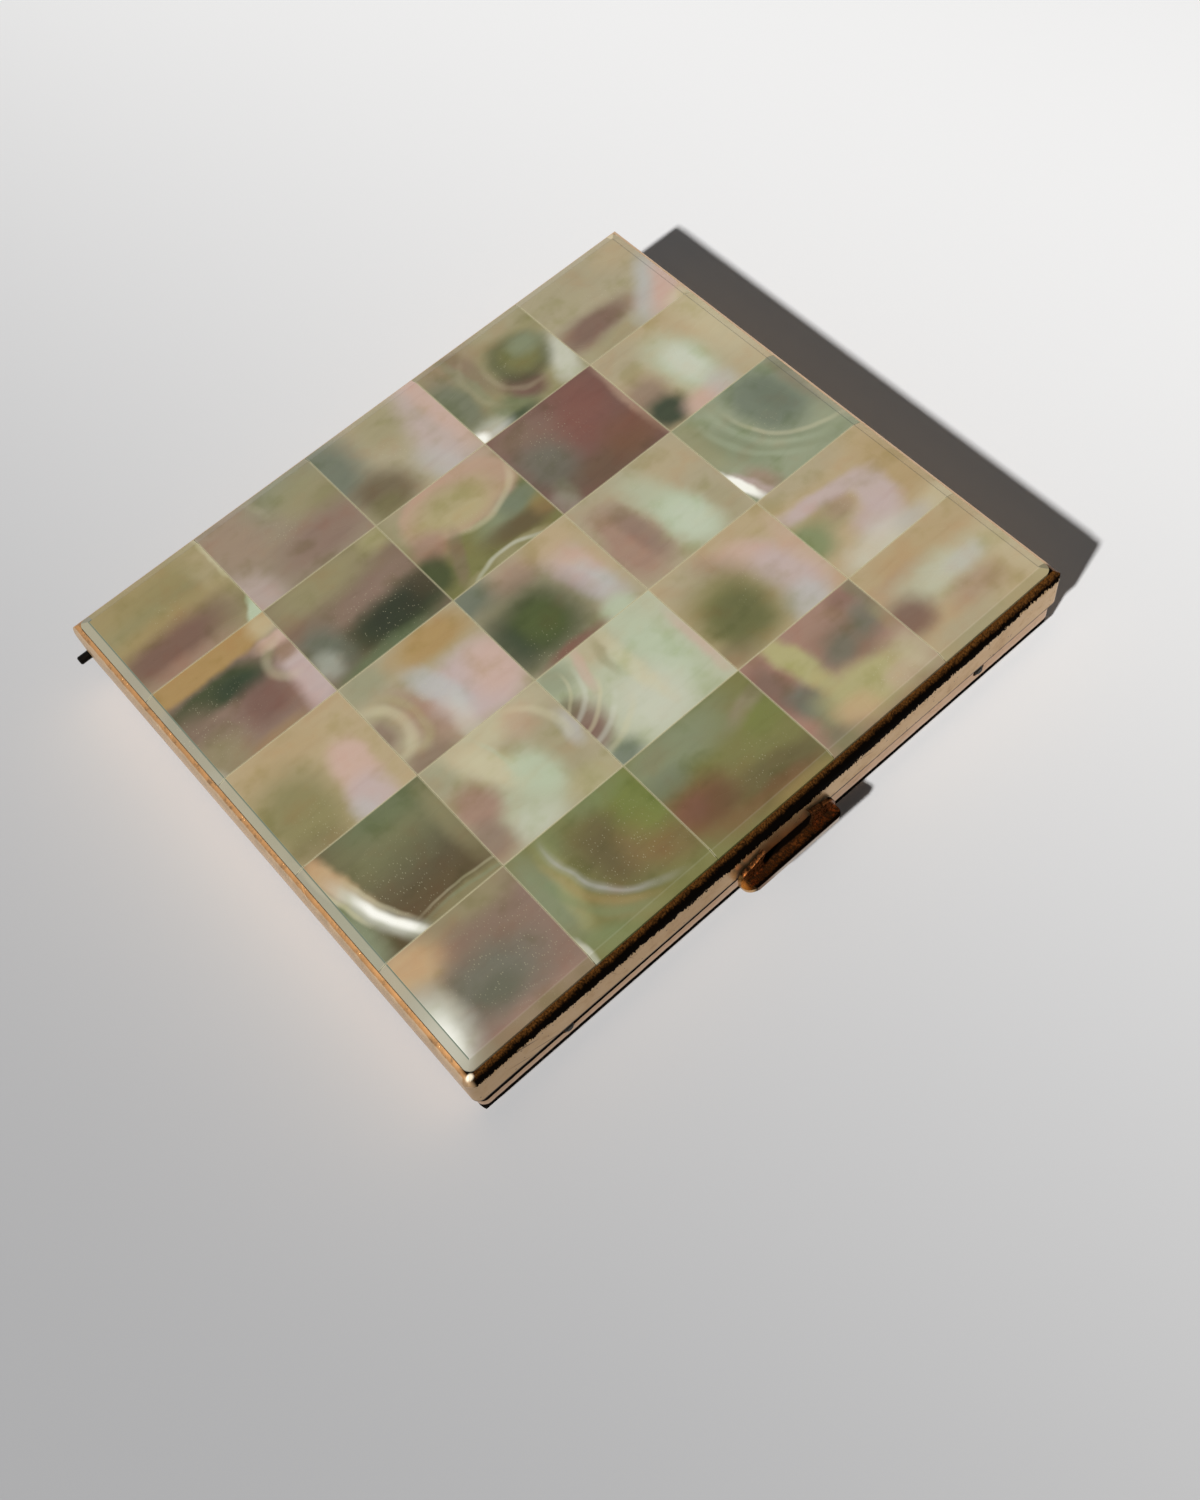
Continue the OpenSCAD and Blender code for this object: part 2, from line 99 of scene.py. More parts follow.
SHOULDER_REFLECTION_GOLD = rgb(204, 168, 128)
LEFT_SHOULDER_REFLECTION_GOLD = rgb(178, 126, 72)
LEFT_WALL_HIGHLIGHT = rgb(230, 204, 174)
FRONT_REFLECTION_GOLD_BROWN = rgb(126, 80, 34)
REFLECTION_AND_SPECK_BROWN = rgb(38, 22, 9)
LIP_SHADE_BROWN = rgb(44, 27, 12)
CORNER_GLINT = rgb(255, 240, 212)

TRAY_PINK = rgb(200, 158, 134)
# A painted highlight near the tray's foot
TRAY_FOOT_HIGHLIGHT = rgb(214, 184, 158)

# The thumb-piece: its red gilt, with painted shade, a painted reflection of dark and painted highlights
CATCH_PAINTED_BLACK = rgb(10, 6, 4)
CATCH_GLOW = rgb(184, 120, 70)
CATCH_LEFT_HIGHLIGHT = rgb(214, 170, 110)
CATCH_RIM_BROWN = rgb(132, 92, 54)
CATCH_RIM_HIGHLIGHT = rgb(196, 180, 164)

FLOOR_GREY = rgb(171, 172, 175)
FLOOR_PALE = rgb(247, 248, 250)


# Building shader trees

def put(tree, kind, inputs=None, **settings):
    """Adds a node, sets its properties, and sets or links its inputs."""
    node = tree.nodes.new(kind)
    for name, value in settings.items():
        setattr(node, name, value)
    for name, value in (inputs or {}).items():
        if isinstance(value, bpy.types.NodeSocket):
            tree.links.new(value, node.inputs[name])
        else:
            node.inputs[name].default_value = value
    return node


def place_group(tree, group, inputs):
    """A node group set into a tree with its own values."""
    return put(tree, "ShaderNodeGroup", inputs, node_tree=group).outputs


def calc(tree, operation, first, second=0.0):
    """The result of one arithmetic step."""
    return put(tree, "ShaderNodeMath", {0: first, 1: second}, operation=operation).outputs[0]


def plus(tree, first, second):
    """The sum of two values."""
    return calc(tree, "ADD", first, second)


def minus(tree, first, second):
    """The first value less the second."""
    return calc(tree, "SUBTRACT", first, second)


def times(tree, first, second):
    """The product of two values."""
    return calc(tree, "MULTIPLY", first, second)


def larger(tree, first, second):
    """The larger of two values."""
    return calc(tree, "MAXIMUM", first, second)


def vector_calc(tree, operation, first, second=(0, 0, 0)):
    """The vector that one step makes of two."""
    return put(tree, "ShaderNodeVectorMath", {0: first, 1: second}, operation=operation).outputs[0]


def vector_number(tree, operation, first, second):
    """The number that one step makes of two vectors."""
    node = put(tree, "ShaderNodeVectorMath", {0: first, 1: second}, operation=operation)
    return node.outputs["Value"]


def split(tree, vector):
    """The three parts of a vector."""
    return put(tree, "ShaderNodeSeparateXYZ", {0: vector}).outputs


def turned_about_z(tree, place, degrees):
    """Place turned about Z by an angle in degrees."""
    return put(tree, "ShaderNodeVectorRotate",
               {"Vector": place, "Angle": times(tree, degrees, math.pi / 180)},
               rotation_type="Z_AXIS").outputs[0]


def stretched(tree, place, scale, offset=(0, 0, 0), turn=0.0):
    """Place, turned about Z, scaled and shifted."""
    rotation = (0, 0, math.radians(turn))
    return put(tree, "ShaderNodeMapping",
               {"Vector": place, "Scale": scale, "Location": offset, "Rotation": rotation}).outputs[0]


def mix(tree, factor, under, over, mode="MIX"):
    """The under colour with the over colour laid on it by factor."""
    node = put(tree, "ShaderNodeMix", {0: factor, 6: under, 7: over}, data_type="RGBA", blend_type=mode)
    return node.outputs[2]


def ramp(tree, value, low, high, start=0.0, end=1.0):
    """Value taken smoothly from start at low to end at high."""
    node = put(tree, "ShaderNodeMapRange", {0: value, 1: low, 2: high, 3: start, 4: end},
               interpolation_type="SMOOTHSTEP")
    return node.outputs[0]


def noise(tree, place, scale, detail=2.0, rough=0.5):
    """Cloudy noise of 0 to 1, and the same in three channels."""
    node = put(tree, "ShaderNodeTexNoise",
               {"Vector": place, "Scale": scale, "Detail": detail, "Roughness": rough})
    return node.outputs["Fac"], node.outputs["Color"]


def wavy(tree, place, source, scale, strength):
    """Place pushed about by soft noise that is read at the source."""
    _, bend = noise(tree, source, scale)
    swing = vector_calc(tree, "SUBTRACT", bend, (0.5, 0.5, 0.5))
    return vector_calc(tree, "ADD", place, vector_calc(tree, "MULTIPLY", swing, (strength, strength, 0)))


def jitter(tree, position, layers):
    """A position pushed to and fro by layers of noise, each given as its level and its swing in mm."""
    for level, swing in layers:
        position = plus(tree, position, times(tree, minus(tree, level, 0.5), swing * MM))
    return position


def new_group(name, inputs, outputs):
    """An empty node group with named sockets, and its input and output nodes."""
    tree = bpy.data.node_groups.new(name, "ShaderNodeTree")
    for label, kind in inputs.items():
        tree.interface.new_socket(label, in_out="INPUT", socket_type="NodeSocket" + kind)
    for label, kind in outputs.items():
        tree.interface.new_socket(label, in_out="OUTPUT", socket_type="NodeSocket" + kind)
    return tree, tree.nodes.new("NodeGroupInput").outputs, tree.nodes.new("NodeGroupOutput").inputs


def new_material(name):
    """An empty material, its tree, its shader and its object coordinates."""
    material = bpy.data.materials.new(name)
    material.use_nodes = True
    tree = material.node_tree
    shader = tree.nodes["Principled BSDF"]
    place = tree.nodes.new("ShaderNodeTexCoord").outputs["Object"]
    return material, tree, shader, place


def new_object(name, data):
    """An object in the scene that shows a mesh, a lamp or a camera."""
    thing = bpy.data.objects.new(name, data)
    bpy.context.scene.collection.objects.link(thing)
    return thing


# Effects that several materials share

PATCH_POWER = 2.3
SOFT_FULL, CLEAR_FULL = 0.3, 0.94
SOFT_GONE, CLEAR_GONE = 1.26, 1.04


def patch_group():
    """A patch between an oval and a rectangle, turned by an angle: the place's two shares of the reach
    are raised to PATCH_POWER and added. Crisp moves the shares at which it is full and gone from the
    soft ones, at 0, to the clear ones, at 1."""
    tree, given, result = new_group(
        "soft_patch",
        {"Under": "Color", "Paint": "Color", "Place": "Vector", "Middle": "Vector", "Reach": "Vector",
         "Turn": "Float", "Amount": "Float", "Crisp": "Float"},
        {"Color": "Color"})
    away = vector_calc(tree, "SUBTRACT", given["Place"], given["Middle"])
    turned = turned_about_z(tree, away, times(tree, given["Turn"], -1.0))
    fitted = vector_calc(tree, "DIVIDE", turned, given["Reach"])
    share = split(tree, vector_calc(tree, "ABSOLUTE", fitted))
    total = plus(tree, calc(tree, "POWER", share[0], PATCH_POWER),
                 calc(tree, "POWER", share[1], PATCH_POWER))
    reached = calc(tree, "POWER", total, 1 / PATCH_POWER)
    full = plus(tree, times(tree, given["Crisp"], CLEAR_FULL - SOFT_FULL), SOFT_FULL)
    gone = plus(tree, times(tree, given["Crisp"], CLEAR_GONE - SOFT_GONE), SOFT_GONE)
    cover = times(tree, ramp(tree, reached, full, gone, 1.0, 0.0), given["Amount"])
    tree.links.new(mix(tree, cover, given["Under"], given["Paint"]), result["Color"])
    return tree


def arc_group():
    """A soft growth arc: a ring of given radius and width, shown only near one point of it."""
    tree, given, result = new_group(
        "growth_arc",
        {"Under": "Color", "Paint": "Color", "Place": "Vector", "Middle": "Vector", "Radius": "Float",
         "Width": "Float", "Near": "Vector", "Span": "Float", "Amount": "Float"},
        {"Color": "Color"})
    away = vector_number(tree, "DISTANCE", given["Place"], given["Middle"])
    off = calc(tree, "ABSOLUTE", minus(tree, away, given["Radius"]))
    ring = ramp(tree, calc(tree, "DIVIDE", off, given["Width"]), 0.1, 1.0, 1.0, 0.0)
    reach = vector_number(tree, "DISTANCE", given["Place"], given["Near"])
    kept = ramp(tree, calc(tree, "DIVIDE", reach, given["Span"]), 0.4, 1.0, 1.0, 0.0)
    cover = times(tree, times(tree, ring, kept), given["Amount"])
    tree.links.new(mix(tree, cover, given["Under"], given["Paint"]), result["Color"])
    return tree


# The two directions of the scratches: turn in degrees, and how far the noise is drawn out
SCRATCH_WAYS = ((0.0, 0.06), (63.0, 0.05))


def scratch_group():
    """Fine scratches of two directions as a mask: thin crests of noise drawn out along a line."""
    tree, given, result = new_group(
        "fine_scratches", {"Place": "Vector", "Scale": "Float", "Turn": "Float"}, {"Mask": "Float"})
    crests = []
    for turn, stretch in SCRATCH_WAYS:
        turned = turned_about_z(tree, given["Place"], plus(tree, given["Turn"], turn))
        drawn = stretched(tree, turned, (stretch, 1.0, 1.0), (turn, 0, 0))
        level, _ = noise(tree, drawn, given["Scale"], 1.0)
        crests.append(ramp(tree, level, 0.70, 0.78))
    tree.links.new(larger(tree, crests[0], crests[1]), result["Mask"])
    return tree


def speck_group():
    """Scattered round specks as a mask: the cores of cells whose own random value is high enough."""
    tree, given, result = new_group(
        "specks", {"Place": "Vector", "Scale": "Float", "Share": "Float", "Size": "Float"},
        {"Mask": "Float"})
    cells = put(tree, "ShaderNodeTexVoronoi", {"Vector": given["Place"], "Scale": given["Scale"]})
    core = ramp(tree, calc(tree, "DIVIDE", cells.outputs["Distance"], given["Size"]), 0.6, 1.0, 1.0, 0.0)
    pick = put(tree, "ShaderNodeSeparateColor", {0: cells.outputs["Color"]}).outputs[0]
    chosen = calc(tree, "LESS_THAN", pick, given["Share"])
    tree.links.new(times(tree, core, chosen), result["Mask"])
    return tree


PATCH = patch_group()
ARC = arc_group()
SCRATCHES = scratch_group()
SPECKS = speck_group()


def patch(tree, under, paint, place, u, v, reach_u, reach_v, turn=0, amount=1, crisp=0):
    """The under colour with one patch of paint on it."""
    return place_group(tree, PATCH, {
        "Under": under, "Paint": paint, "Place": place, "Middle": (u, v, 0),
        "Reach": (reach_u, reach_v, 1), "Turn": turn, "Amount": amount, "Crisp": crisp})["Color"]


def arc(tree, under, paint, place, u, v, radius, width, near_u, near_v, span, amount):
    """The under colour with one growth arc of paint on it."""
    return place_group(tree, ARC, {
        "Under": under, "Paint": paint, "Place": place, "Middle": (u, v, 0), "Radius": radius,
        "Width": width, "Near": (near_u, near_v, 0), "Span": span, "Amount": amount})["Color"]


def fine_scratches(tree, place, scale, turn):
    """Scratches as a mask, turned by an angle in degrees."""
    return place_group(tree, SCRATCHES, {"Place": place, "Scale": scale, "Turn": turn})["Mask"]


def scattered_specks(tree, place, scale, share, size):
    """Specks as a mask: their number per metre, the share of them that shows, and their size."""
    return place_group(tree, SPECKS, {"Place": place, "Scale": scale, "Share": share, "Size": size})["Mask"]


# Mother-of-pearl

# Each tile: its ground colour, then patches (colour, middle u and v, reach along u and v, turn in
# degrees, amount, and crispness where it isn't 0) and arcs (colour, middle u and v, radius, width,
# near u and v, span, amount). u runs with X and v with Y, from -1 to 1 across the tile. The white
# patches and arcs are painted glints.
TILE_PAINT = {
    "tile_r1_c1": ("khaki", [
      ("gold", -0.3, 0.75, 1.3, 0.55, 0, 0.35), ("olive", 0.1, 0.35, 0.9, 0.5, 0, 0.3),
      ("sand", 0.9, 0.3, 0.35, 0.9, 0, 0.5), ("gold", -0.2, -0.1, 1.1, 0.35, 0, 0.45),
      ("plum", -0.25, -0.55, 1.25, 0.48, 2, 0.9, 0.05), ("rose", -0.2, -1.02, 1.1, 0.3, 0, 0.7),
      ("mint", 1.08, -0.85, 0.24, 0.75, -24, 0.95, 0.6), ("cream", 1, 0.5, 0.07, 0.9, 0, 0.5)], []),
    "tile_r1_c2": ("drab", [
      ("rose", -0.7, 0.4, 0.5, 0.9, 0, 0.35), ("sage", 0.5, 0.75, 0.75, 0.5, 10, 0.6),
      ("khaki", 0.65, 0.3, 0.6, 0.6, 20, 0.7), ("olive", 0.85, 0, 0.35, 0.35, 0, 0.4),
      ("mauve", 0.35, -0.55, 0.95, 0.55, 6, 0.95), ("lilac", -0.9, -0.7, 0.4, 0.6, 15, 0.6),
      ("cream", -0.05, 0.7, 0.1, 0.4, 10, 0.1)], []),
    "tile_r1_c3": ("beige", [
      ("slate", -0.95, 0.4, 0.65, 1.1, 0, 0.85), ("khaki", 0.1, 0.6, 0.5, 0.6, 0, 0.5),
      ("umber", -0.55, -0.65, 0.55, 0.6, 0, 0.8, 0.1), ("olive", -0.7, -0.9, 0.4, 0.3, 0, 0.4),
      ("lilac", 0.75, 0, 0.5, 1.8, -10, 0.8, 0.1), ("pink", 1, 0.2, 0.3, 1.5, 3, 0.8, 0.1),
      ("ice", 0.35, -0.8, 0.35, 0.6, 10, 0.5)], []),
    "tile_r1_c4": ("khaki", [
      ("rose", -0.5, 0.75, 0.6, 0.5, 0, 0.5), ("slate", -0.85, -0.1, 0.35, 0.9, 0, 0.7),
      ("taupe", -0.35, 0.3, 0.22, 0.8, 5, 0.6), ("sage", -0.5, 0.2, 0.1, 1, 3, 0.4),
      ("beige", 0.5, 0.85, 0.7, 0.3, 0, 0.6), ("fern", -0.2, -0.75, 0.5, 0.35, 15, 0.7),
      ("pine", -0.35, -0.95, 0.45, 0.14, 0, 0.7), ("plum", 0.12, -0.5, 0.28, 0.45, 35, 0.9, 0.2),
      ("frost", 0.85, -0.55, 0.28, 0.7, -12, 0.75), ("moss", 0.37, 0, 0.53, 0.6, 0, 0.7, 0.5),
      ("olive", 0.42, 0.04, 0.4, 0.42, 0, 0.8, 0.1), ("sage", 0.6, 0.2, 0.3, 0.3, 0, 0.8),
      ("ice", -0.8, -0.95, 0.4, 0.12, 0, 0.6), ("frost", -0.75, -0.85, 0.4, 0.25, 0, 0.5),
      ("white", -0.97, -0.9, 0.15, 0.17, 0, 0.95)],
     [("beige", 0.42, -0.02, 0.62, 0.09, -0.1, -0.35, 0.8, 0.3),
      ("beige", 0.4, 0, 0.98, 0.09, -0.55, 0.1, 1, 0.22)]),
    "tile_r1_c5": ("beige", [
      ("khaki", -0.4, 0.6, 0.9, 0.5, 0, 0.2), ("sand", 0.8, 0.6, 0.6, 0.5, 0, 0.6),
      ("plum", -0.45, -0.42, 0.85, 0.36, 3, 0.85), ("khaki", -0.4, -0.9, 0.7, 0.25, 0, 0.5),
      ("ice", 0.6, -0.4, 0.3, 0.9, -38, 0.75, 0.1), ("pink", 0.88, -0.55, 0.35, 1, -38, 0.95, 0.1),
      ("peach", 1, -0.75, 0.1, 0.7, -38, 0.5), ("cream", 0.85, -1, 0.35, 0.25, 0, 0.5)], []),
    "tile_r2_c1": ("mauve", [
      ("gold", -0.2, 0.95, 1.5, 0.42, 0, 0.95, 0.75), ("cream", 0.9, 0.8, 0.3, 0.3, 0, 0.5),
      ("moss", -0.25, 0.28, 0.95, 0.32, 0, 0.95, 0.3), ("pine", 0.1, 0.15, 0.5, 0.28, -10, 0.7),
      ("taupe", -0.75, -0.1, 0.45, 0.5, 0, 0.7), ("plum", 0.2, -0.35, 0.45, 0.45, 0, 0.8),
      ("khaki", -0.7, -0.75, 0.5, 0.5, 0, 0.6), ("gold", 0.1, -1, 0.6, 0.2, 0, 0.4),
      ("lilac", 0.9, -0.45, 0.32, 0.85, -4, 0.95, 0.3), ("pink", 0.9, 0.45, 0.4, 0.16, -8, 0.9, 0.3),
      ("rose", 0.88, 0.18, 0.2, 0.22, 0, 0.8), ("frost", -0.95, -0.9, 0.16, 0.2, 20, 0.3)],
     [("cream", 0.98, 0.05, 0.44, 0.14, 0.6, 0.1, 0.6, 0.3)]),
    "tile_r2_c2": ("taupe", [
      ("khaki", -0.2, 0.8, 1.2, 0.5, 0, 0.8), ("straw", 0.9, 0.85, 0.4, 0.3, 0, 0.5),
      ("mauve", 0.35, 0, 0.9, 0.35, 6, 0.8), ("moss", 0.3, -0.6, 1.1, 0.55, 2, 0.95, 0.1),
      ("night", 0.35, -0.5, 0.8, 0.44, 2, 0.7), ("bark", 0.9, -0.4, 0.3, 0.3, 0, 0.6),
      ("slate", -0.75, -0.35, 0.4, 0.6, 0, 0.75), ("frost", -0.86, -0.55, 0.26, 0.3, 0, 0.35),
      ("fern", -0.2, -1, 1, 0.22, 0, 0.8)], []),
    "tile_r2_c3": ("olive", [
      ("pink", 0.3, 0.95, 1.2, 0.35, 0, 0.7), ("beige", -0.8, 0.7, 0.4, 0.6, 0, 0.6),
      ("blush", 0.1, 0.45, 0.98, 0.62, -4, 0.9, 0.85), ("straw", -0.05, 0.35, 0.75, 0.48, -6, 0.6, 0.1),
      ("khaki", 0, 0.6, 0.5, 0.3, 0, 0.3), ("rose", -0.7, 0, 0.35, 0.4, -25, 0.8, 0.1),
      ("moss", -0.9, -0.45, 0.3, 0.45, -15, 0.9, 0.2), ("taupe", -0.5, -0.45, 0.12, 0.6, -25, 0.6, 0.1),
      ("sage", 0.5, -0.3, 0.7, 0.28, 12, 0.8), ("slate", 0.75, -0.2, 0.4, 0.3, 10, 0.5),
      ("umber", 0.55, -0.65, 0.75, 0.25, -6, 0.85), ("gold", 0.95, -0.6, 0.25, 0.25, 0, 0.35),
      ("khaki", 0, -1.1, 0.85, 0.32, 0, 0.9, 0.8)],
     [("cream", 0.1, 0.75, 0.93, 0.1, 0.5, -0.1, 1, 0.4),
      ("frost", 0, -1.9, 1.08, 0.06, 0, -0.8, 0.9, 0.45)]),
    "tile_r2_c4": ("plum", [
      ("mauve", -0.5, 0.5, 0.8, 0.8, 0, 0.5), ("wine", 0.35, 0.4, 0.5, 0.8, -20, 0.75),
      ("slate", -0.6, -0.1, 0.5, 0.7, 0, 0.6), ("taupe", -0.7, 0.75, 0.5, 0.3, 0, 0.4),
      ("blush", 1, 0, 0.14, 1.2, 0, 0.6), ("umber", 0.1, -0.75, 0.9, 0.4, 0, 0.5),
      ("sienna", 0.6, -0.5, 0.5, 0.5, 0, 0.5), ("frost", -0.88, -0.85, 0.2, 0.36, 25, 0.2),
      ("sage", -0.75, -0.7, 0.2, 0.35, 0, 0.3)], []),
    "tile_r2_c5": ("sand", [
      ("beige", -0.7, 0.7, 0.7, 0.6, 0, 0.8), ("mint", 0, -0.15, 0.5, 0.95, 6, 0.9),
      ("frost", 0, -0.1, 0.3, 0.6, 6, 0.6), ("mauve", -0.8, -0.15, 0.4, 0.4, 0, 0.75),
      ("pine", -0.78, -0.68, 0.4, 0.45, 0, 0.95, 0.1), ("pink", -0.25, -0.95, 0.45, 0.35, 0, 0.85),
      ("ice", 0.15, -0.85, 0.3, 0.35, 0, 0.5), ("beige", 0.6, -0.6, 0.35, 0.6, 0, 0.5),
      ("cream", 0.9, 0.2, 0.55, 1.2, 0, 0.45)], []),
    "tile_r3_c1": ("sand", [
      ("gold", -0.2, 0.7, 0.8, 0.4, 0, 0.25), ("olive", -0.45, -0.35, 0.72, 0.95, 4, 0.75, 0.1),
      ("umber", -0.6, -0.9, 0.5, 0.3, 0, 0.25), ("pink", 0.5, -0.2, 0.32, 0.62, 0, 0.95, 0.3),
      ("lilac", 0.42, -0.8, 0.35, 0.5, 0, 0.9, 0.2), ("ice", 0.25, -0.95, 0.25, 0.3, 0, 0.5),
      ("sand", 0.92, -0.2, 0.14, 1, 0, 0.5)], []),
    "tile_r3_c2": ("beige", [
      ("sage", -0.7, 0.8, 0.45, 0.35, 0, 0.5), ("gold", 0.4, 0.7, 0.75, 0.42, -6, 0.9, 0.1),
      ("rose", -0.4, -0.3, 0.35, 0.8, 10, 0.8), ("khaki", -0.7, 0.1, 0.3, 0.4, 0, 0.4),
      ("lilac", 0.45, -0.4, 0.72, 0.72, -2, 1, 0.45), ("pink", 0.75, -0.35, 0.42, 0.62, 0, 0.8, 0.1),
      ("ice", 0, -0.1, 0.22, 0.75, 14, 0.8, 0.1), ("frost", -0.02, -0.7, 0.2, 0.55, -4, 0.35),
      ("plum", -0.75, -0.95, 0.5, 0.28, 5, 0.6), ("mauve", -1, -0.15, 0.25, 0.35, 0, 0.8)],
     [("cream", -1.2, -0.15, 0.6, 0.15, -0.65, -0.1, 0.85, 0.5),
      ("straw", -1.2, -0.15, 0.8, 0.12, -0.5, -0.2, 0.8, 0.3)]),
    "tile_r3_c3": ("beige", [
      ("slate", -0.85, 0.8, 0.5, 0.4, 0, 0.85), ("rose", -0.15, 0.65, 0.5, 0.35, 0, 0.7),
      ("peach", 0.6, 0.8, 0.6, 0.35, -8, 0.5), ("pink", 0.6, 0.1, 0.42, 0.62, 12, 0.8, 0.1),
      ("ice", 0.6, -0.35, 0.3, 0.6, 10, 0.8), ("lilac", 0.42, -0.05, 0.2, 0.6, 14, 0.7),
      ("moss", -0.42, -0.28, 0.86, 0.95, 4, 0.98), ("leaf", -0.35, -0.25, 0.4, 0.5, 0, 0.2),
      ("pine", -0.95, -0.3, 0.3, 0.7, 0, 0.6), ("mint", 0.5, -0.95, 0.3, 0.28, 0, 0.8, 0.1),
      ("wine", -0.25, -1, 0.6, 0.16, 0, 0.7), ("sand", 1, 0.2, 0.2, 1, 0, 0.7)], []),
    "tile_r3_c4": ("beige", [
      ("sand", 0.6, 0.6, 0.6, 0.5, 0, 0.5), ("mint", 0.1, 0.1, 0.35, 1, 12, 0.6),
      ("mint", 0.2, -0.45, 0.42, 0.7, 6, 0.95, 0.15), ("frost", 0.2, -0.5, 0.3, 0.5, 5, 0.25),
      ("rose", -0.7, -0.1, 0.5, 1, 4, 0.9, 0.2), ("mauve", -0.42, -0.1, 0.22, 0.75, 6, 0.7, 0.1),
      ("beige", -1, 0.5, 0.2, 0.6, 0, 0.5), ("khaki", 0.75, -0.6, 0.2, 0.5, 0, 0.3)], []),
    "tile_r3_c5": ("sage", [
      ("celadon", 0, 0, 1.6, 1.6, 0, 0.35), ("khaki", -0.9, 0.5, 0.3, 0.8, 0, 0.6),
      ("fern", -0.5, 0, 0.35, 0.8, 15, 0.4), ("slate", 0.35, 0.35, 0.55, 0.85, 8, 0.75, 0.3),
      ("pine", 0.45, 0.35, 0.25, 0.5, 5, 0.15), ("taupe", 0.92, 0.4, 0.2, 1, 0, 0.5),
      ("beige", 1, -0.3, 0.12, 0.8, 0, 0.5), ("sage", 0.3, -0.75, 0.8, 0.2, -20, 0.5),
      ("rose", -0.72, -0.8, 0.3, 0.4, 25, 0.7), ("lilac", -0.85, -0.7, 0.12, 0.5, 20, 0.7),
      ("white", -0.97, -0.6, 0.1, 0.5, 14, 0.95, 0.2)],
     [("mint", 0.95, 0.55, 1.38, 0.12, -0.2, -0.2, 1.3, 0.22),
      ("fern", 0.95, 0.55, 1.29, 0.1, -0.1, -0.2, 1.2, 0.22),
      ("mint", 0.95, 0.55, 1.62, 0.09, -0.4, -0.2, 1.2, 0.2),
      ("cream", 0.95, 0.55, 1.2, 0.07, 0.2, -0.35, 1.2, 0.32)]),
    "tile_r4_c1": ("umber", [
      ("sage", 0.3, 0.6, 1.1, 1, 0, 0.5), ("olive", 0.1, 0.5, 1, 0.7, 0, 0.35),
      ("fern", 0.3, 0.95, 0.8, 0.4, 0, 0.6), ("bark", 0.35, -0.1, 0.65, 0.55, 0, 0.3),
      ("khaki", 0.98, 0.1, 0.25, 1, 0, 0.5), ("khaki", 0.5, -1, 0.9, 0.22, 5, 0.7, 0.1),
      ("sage", -1, -0.35, 0.38, 1, 6, 0.9, 0.2), ("peach", -0.72, 0.55, 0.2, 0.6, 8, 0.95, 0.2),
      ("sand", -0.6, 0, 0.16, 0.5, 12, 0.8)],
     [("frost", 2.6, 0.75, 3.36, 0.2, -0.6, -0.35, 1.1, 0.8),
      ("white", 2.6, 0.75, 3.33, 0.1, -0.5, -0.5, 0.8, 1),
      ("cream", 2.6, 0.75, 3.5, 0.06, -0.8, 0.3, 0.9, 0.6),
      ("cream", 2.6, 0.75, 3.2, 0.05, -0.45, -0.2, 0.8, 0.35),
      ("cream", 0.6, -6.8, 6.03, 0.04, 0.5, -0.78, 0.9, 0.3),
      ("sage", 0.3, -6.8, 5.9, 0.05, 0.5, -0.9, 0.9, 0.4)]),
    "tile_r4_c2": ("beige", [
      ("cream", 0, 0.85, 1, 0.35, 0, 0.5), ("sage", -0.85, 0.75, 0.3, 0.4, 0, 0.4),
      ("blush", 0.45, 0.65, 0.3, 0.35, 0, 0.5), ("cream", -0.2, 0.25, 0.3, 0.7, 28, 0.7, 0.1),
      ("mint", 0.2, -0.2, 0.35, 0.55, 8, 0.85, 0.1), ("mint", -0.2, -0.6, 0.5, 0.6, 12, 0.6),
      ("frost", -0.3, -0.85, 0.4, 0.35, 12, 0.35), ("rose", -0.72, -0.05, 0.36, 0.48, 8, 0.9, 0.2),
      ("mauve", -0.9, -0.6, 0.35, 0.4, 0, 0.8), ("khaki", 0.65, -0.2, 0.3, 0.9, 0, 0.35),
      ("straw", 0.6, -0.85, 0.5, 0.3, 0, 0.4), ("ice", 0.88, 0.05, 0.14, 0.4, 0, 0.6, 0.1)],
     [("cream", -0.1, 0.1, 0.95, 0.1, 0.75, 0.5, 0.8, 0.35),
      ("mint", -1.9, 0, 1.9, 0.06, -0.05, 0.4, 0.7, 0.3)]),
    "tile_r4_c3": ("celadon", [
      ("sand", -0.15, 0.85, 0.4, 0.35, 0, 0.6), ("khaki", -0.1, 0.6, 0.1, 0.4, 0, 0.5),
      ("mint", 0.5, 0.1, 0.3, 1, 3, 0.7), ("frost", -0.05, -0.5, 0.6, 0.7, 0, 0.5),
      ("cream", 0.1, 0.2, 0.14, 0.9, 3, 0.5), ("pink", 0.95, -0.2, 0.14, 0.9, 0, 0.6),
      ("pink", -0.45, 0.65, 0.1, 0.5, -12, 0.6, 0.1), ("sage", -0.85, 0.8, 0.35, 0.4, 0, 0.7),
      ("mauve", -0.95, -0.05, 0.38, 0.45, 0, 0.9), ("plum", -1, -0.35, 0.3, 0.4, 0, 0.7),
      ("umber", -0.98, 0.25, 0.25, 0.25, 0, 0.5), ("slate", -0.9, -0.9, 0.35, 0.28, 10, 0.8)],
     [("cream", -1.35, 0.75, 0.62, 0.045, -0.85, 0.35, 0.6, 0.35),
      ("frost", -1.35, 0.75, 0.8, 0.07, -0.75, 0.2, 0.7, 0.35),
      ("cream", -1.35, 0.75, 1.02, 0.06, -0.7, -0.05, 0.7, 0.42),
      ("frost", -1.35, 0.75, 1.25, 0.08, -0.7, -0.35, 0.7, 0.35),
      ("cream", -1.35, 0.75, 1.5, 0.08, -0.6, -0.6, 0.7, 0.3)]),
    "tile_r4_c4": ("sand", [
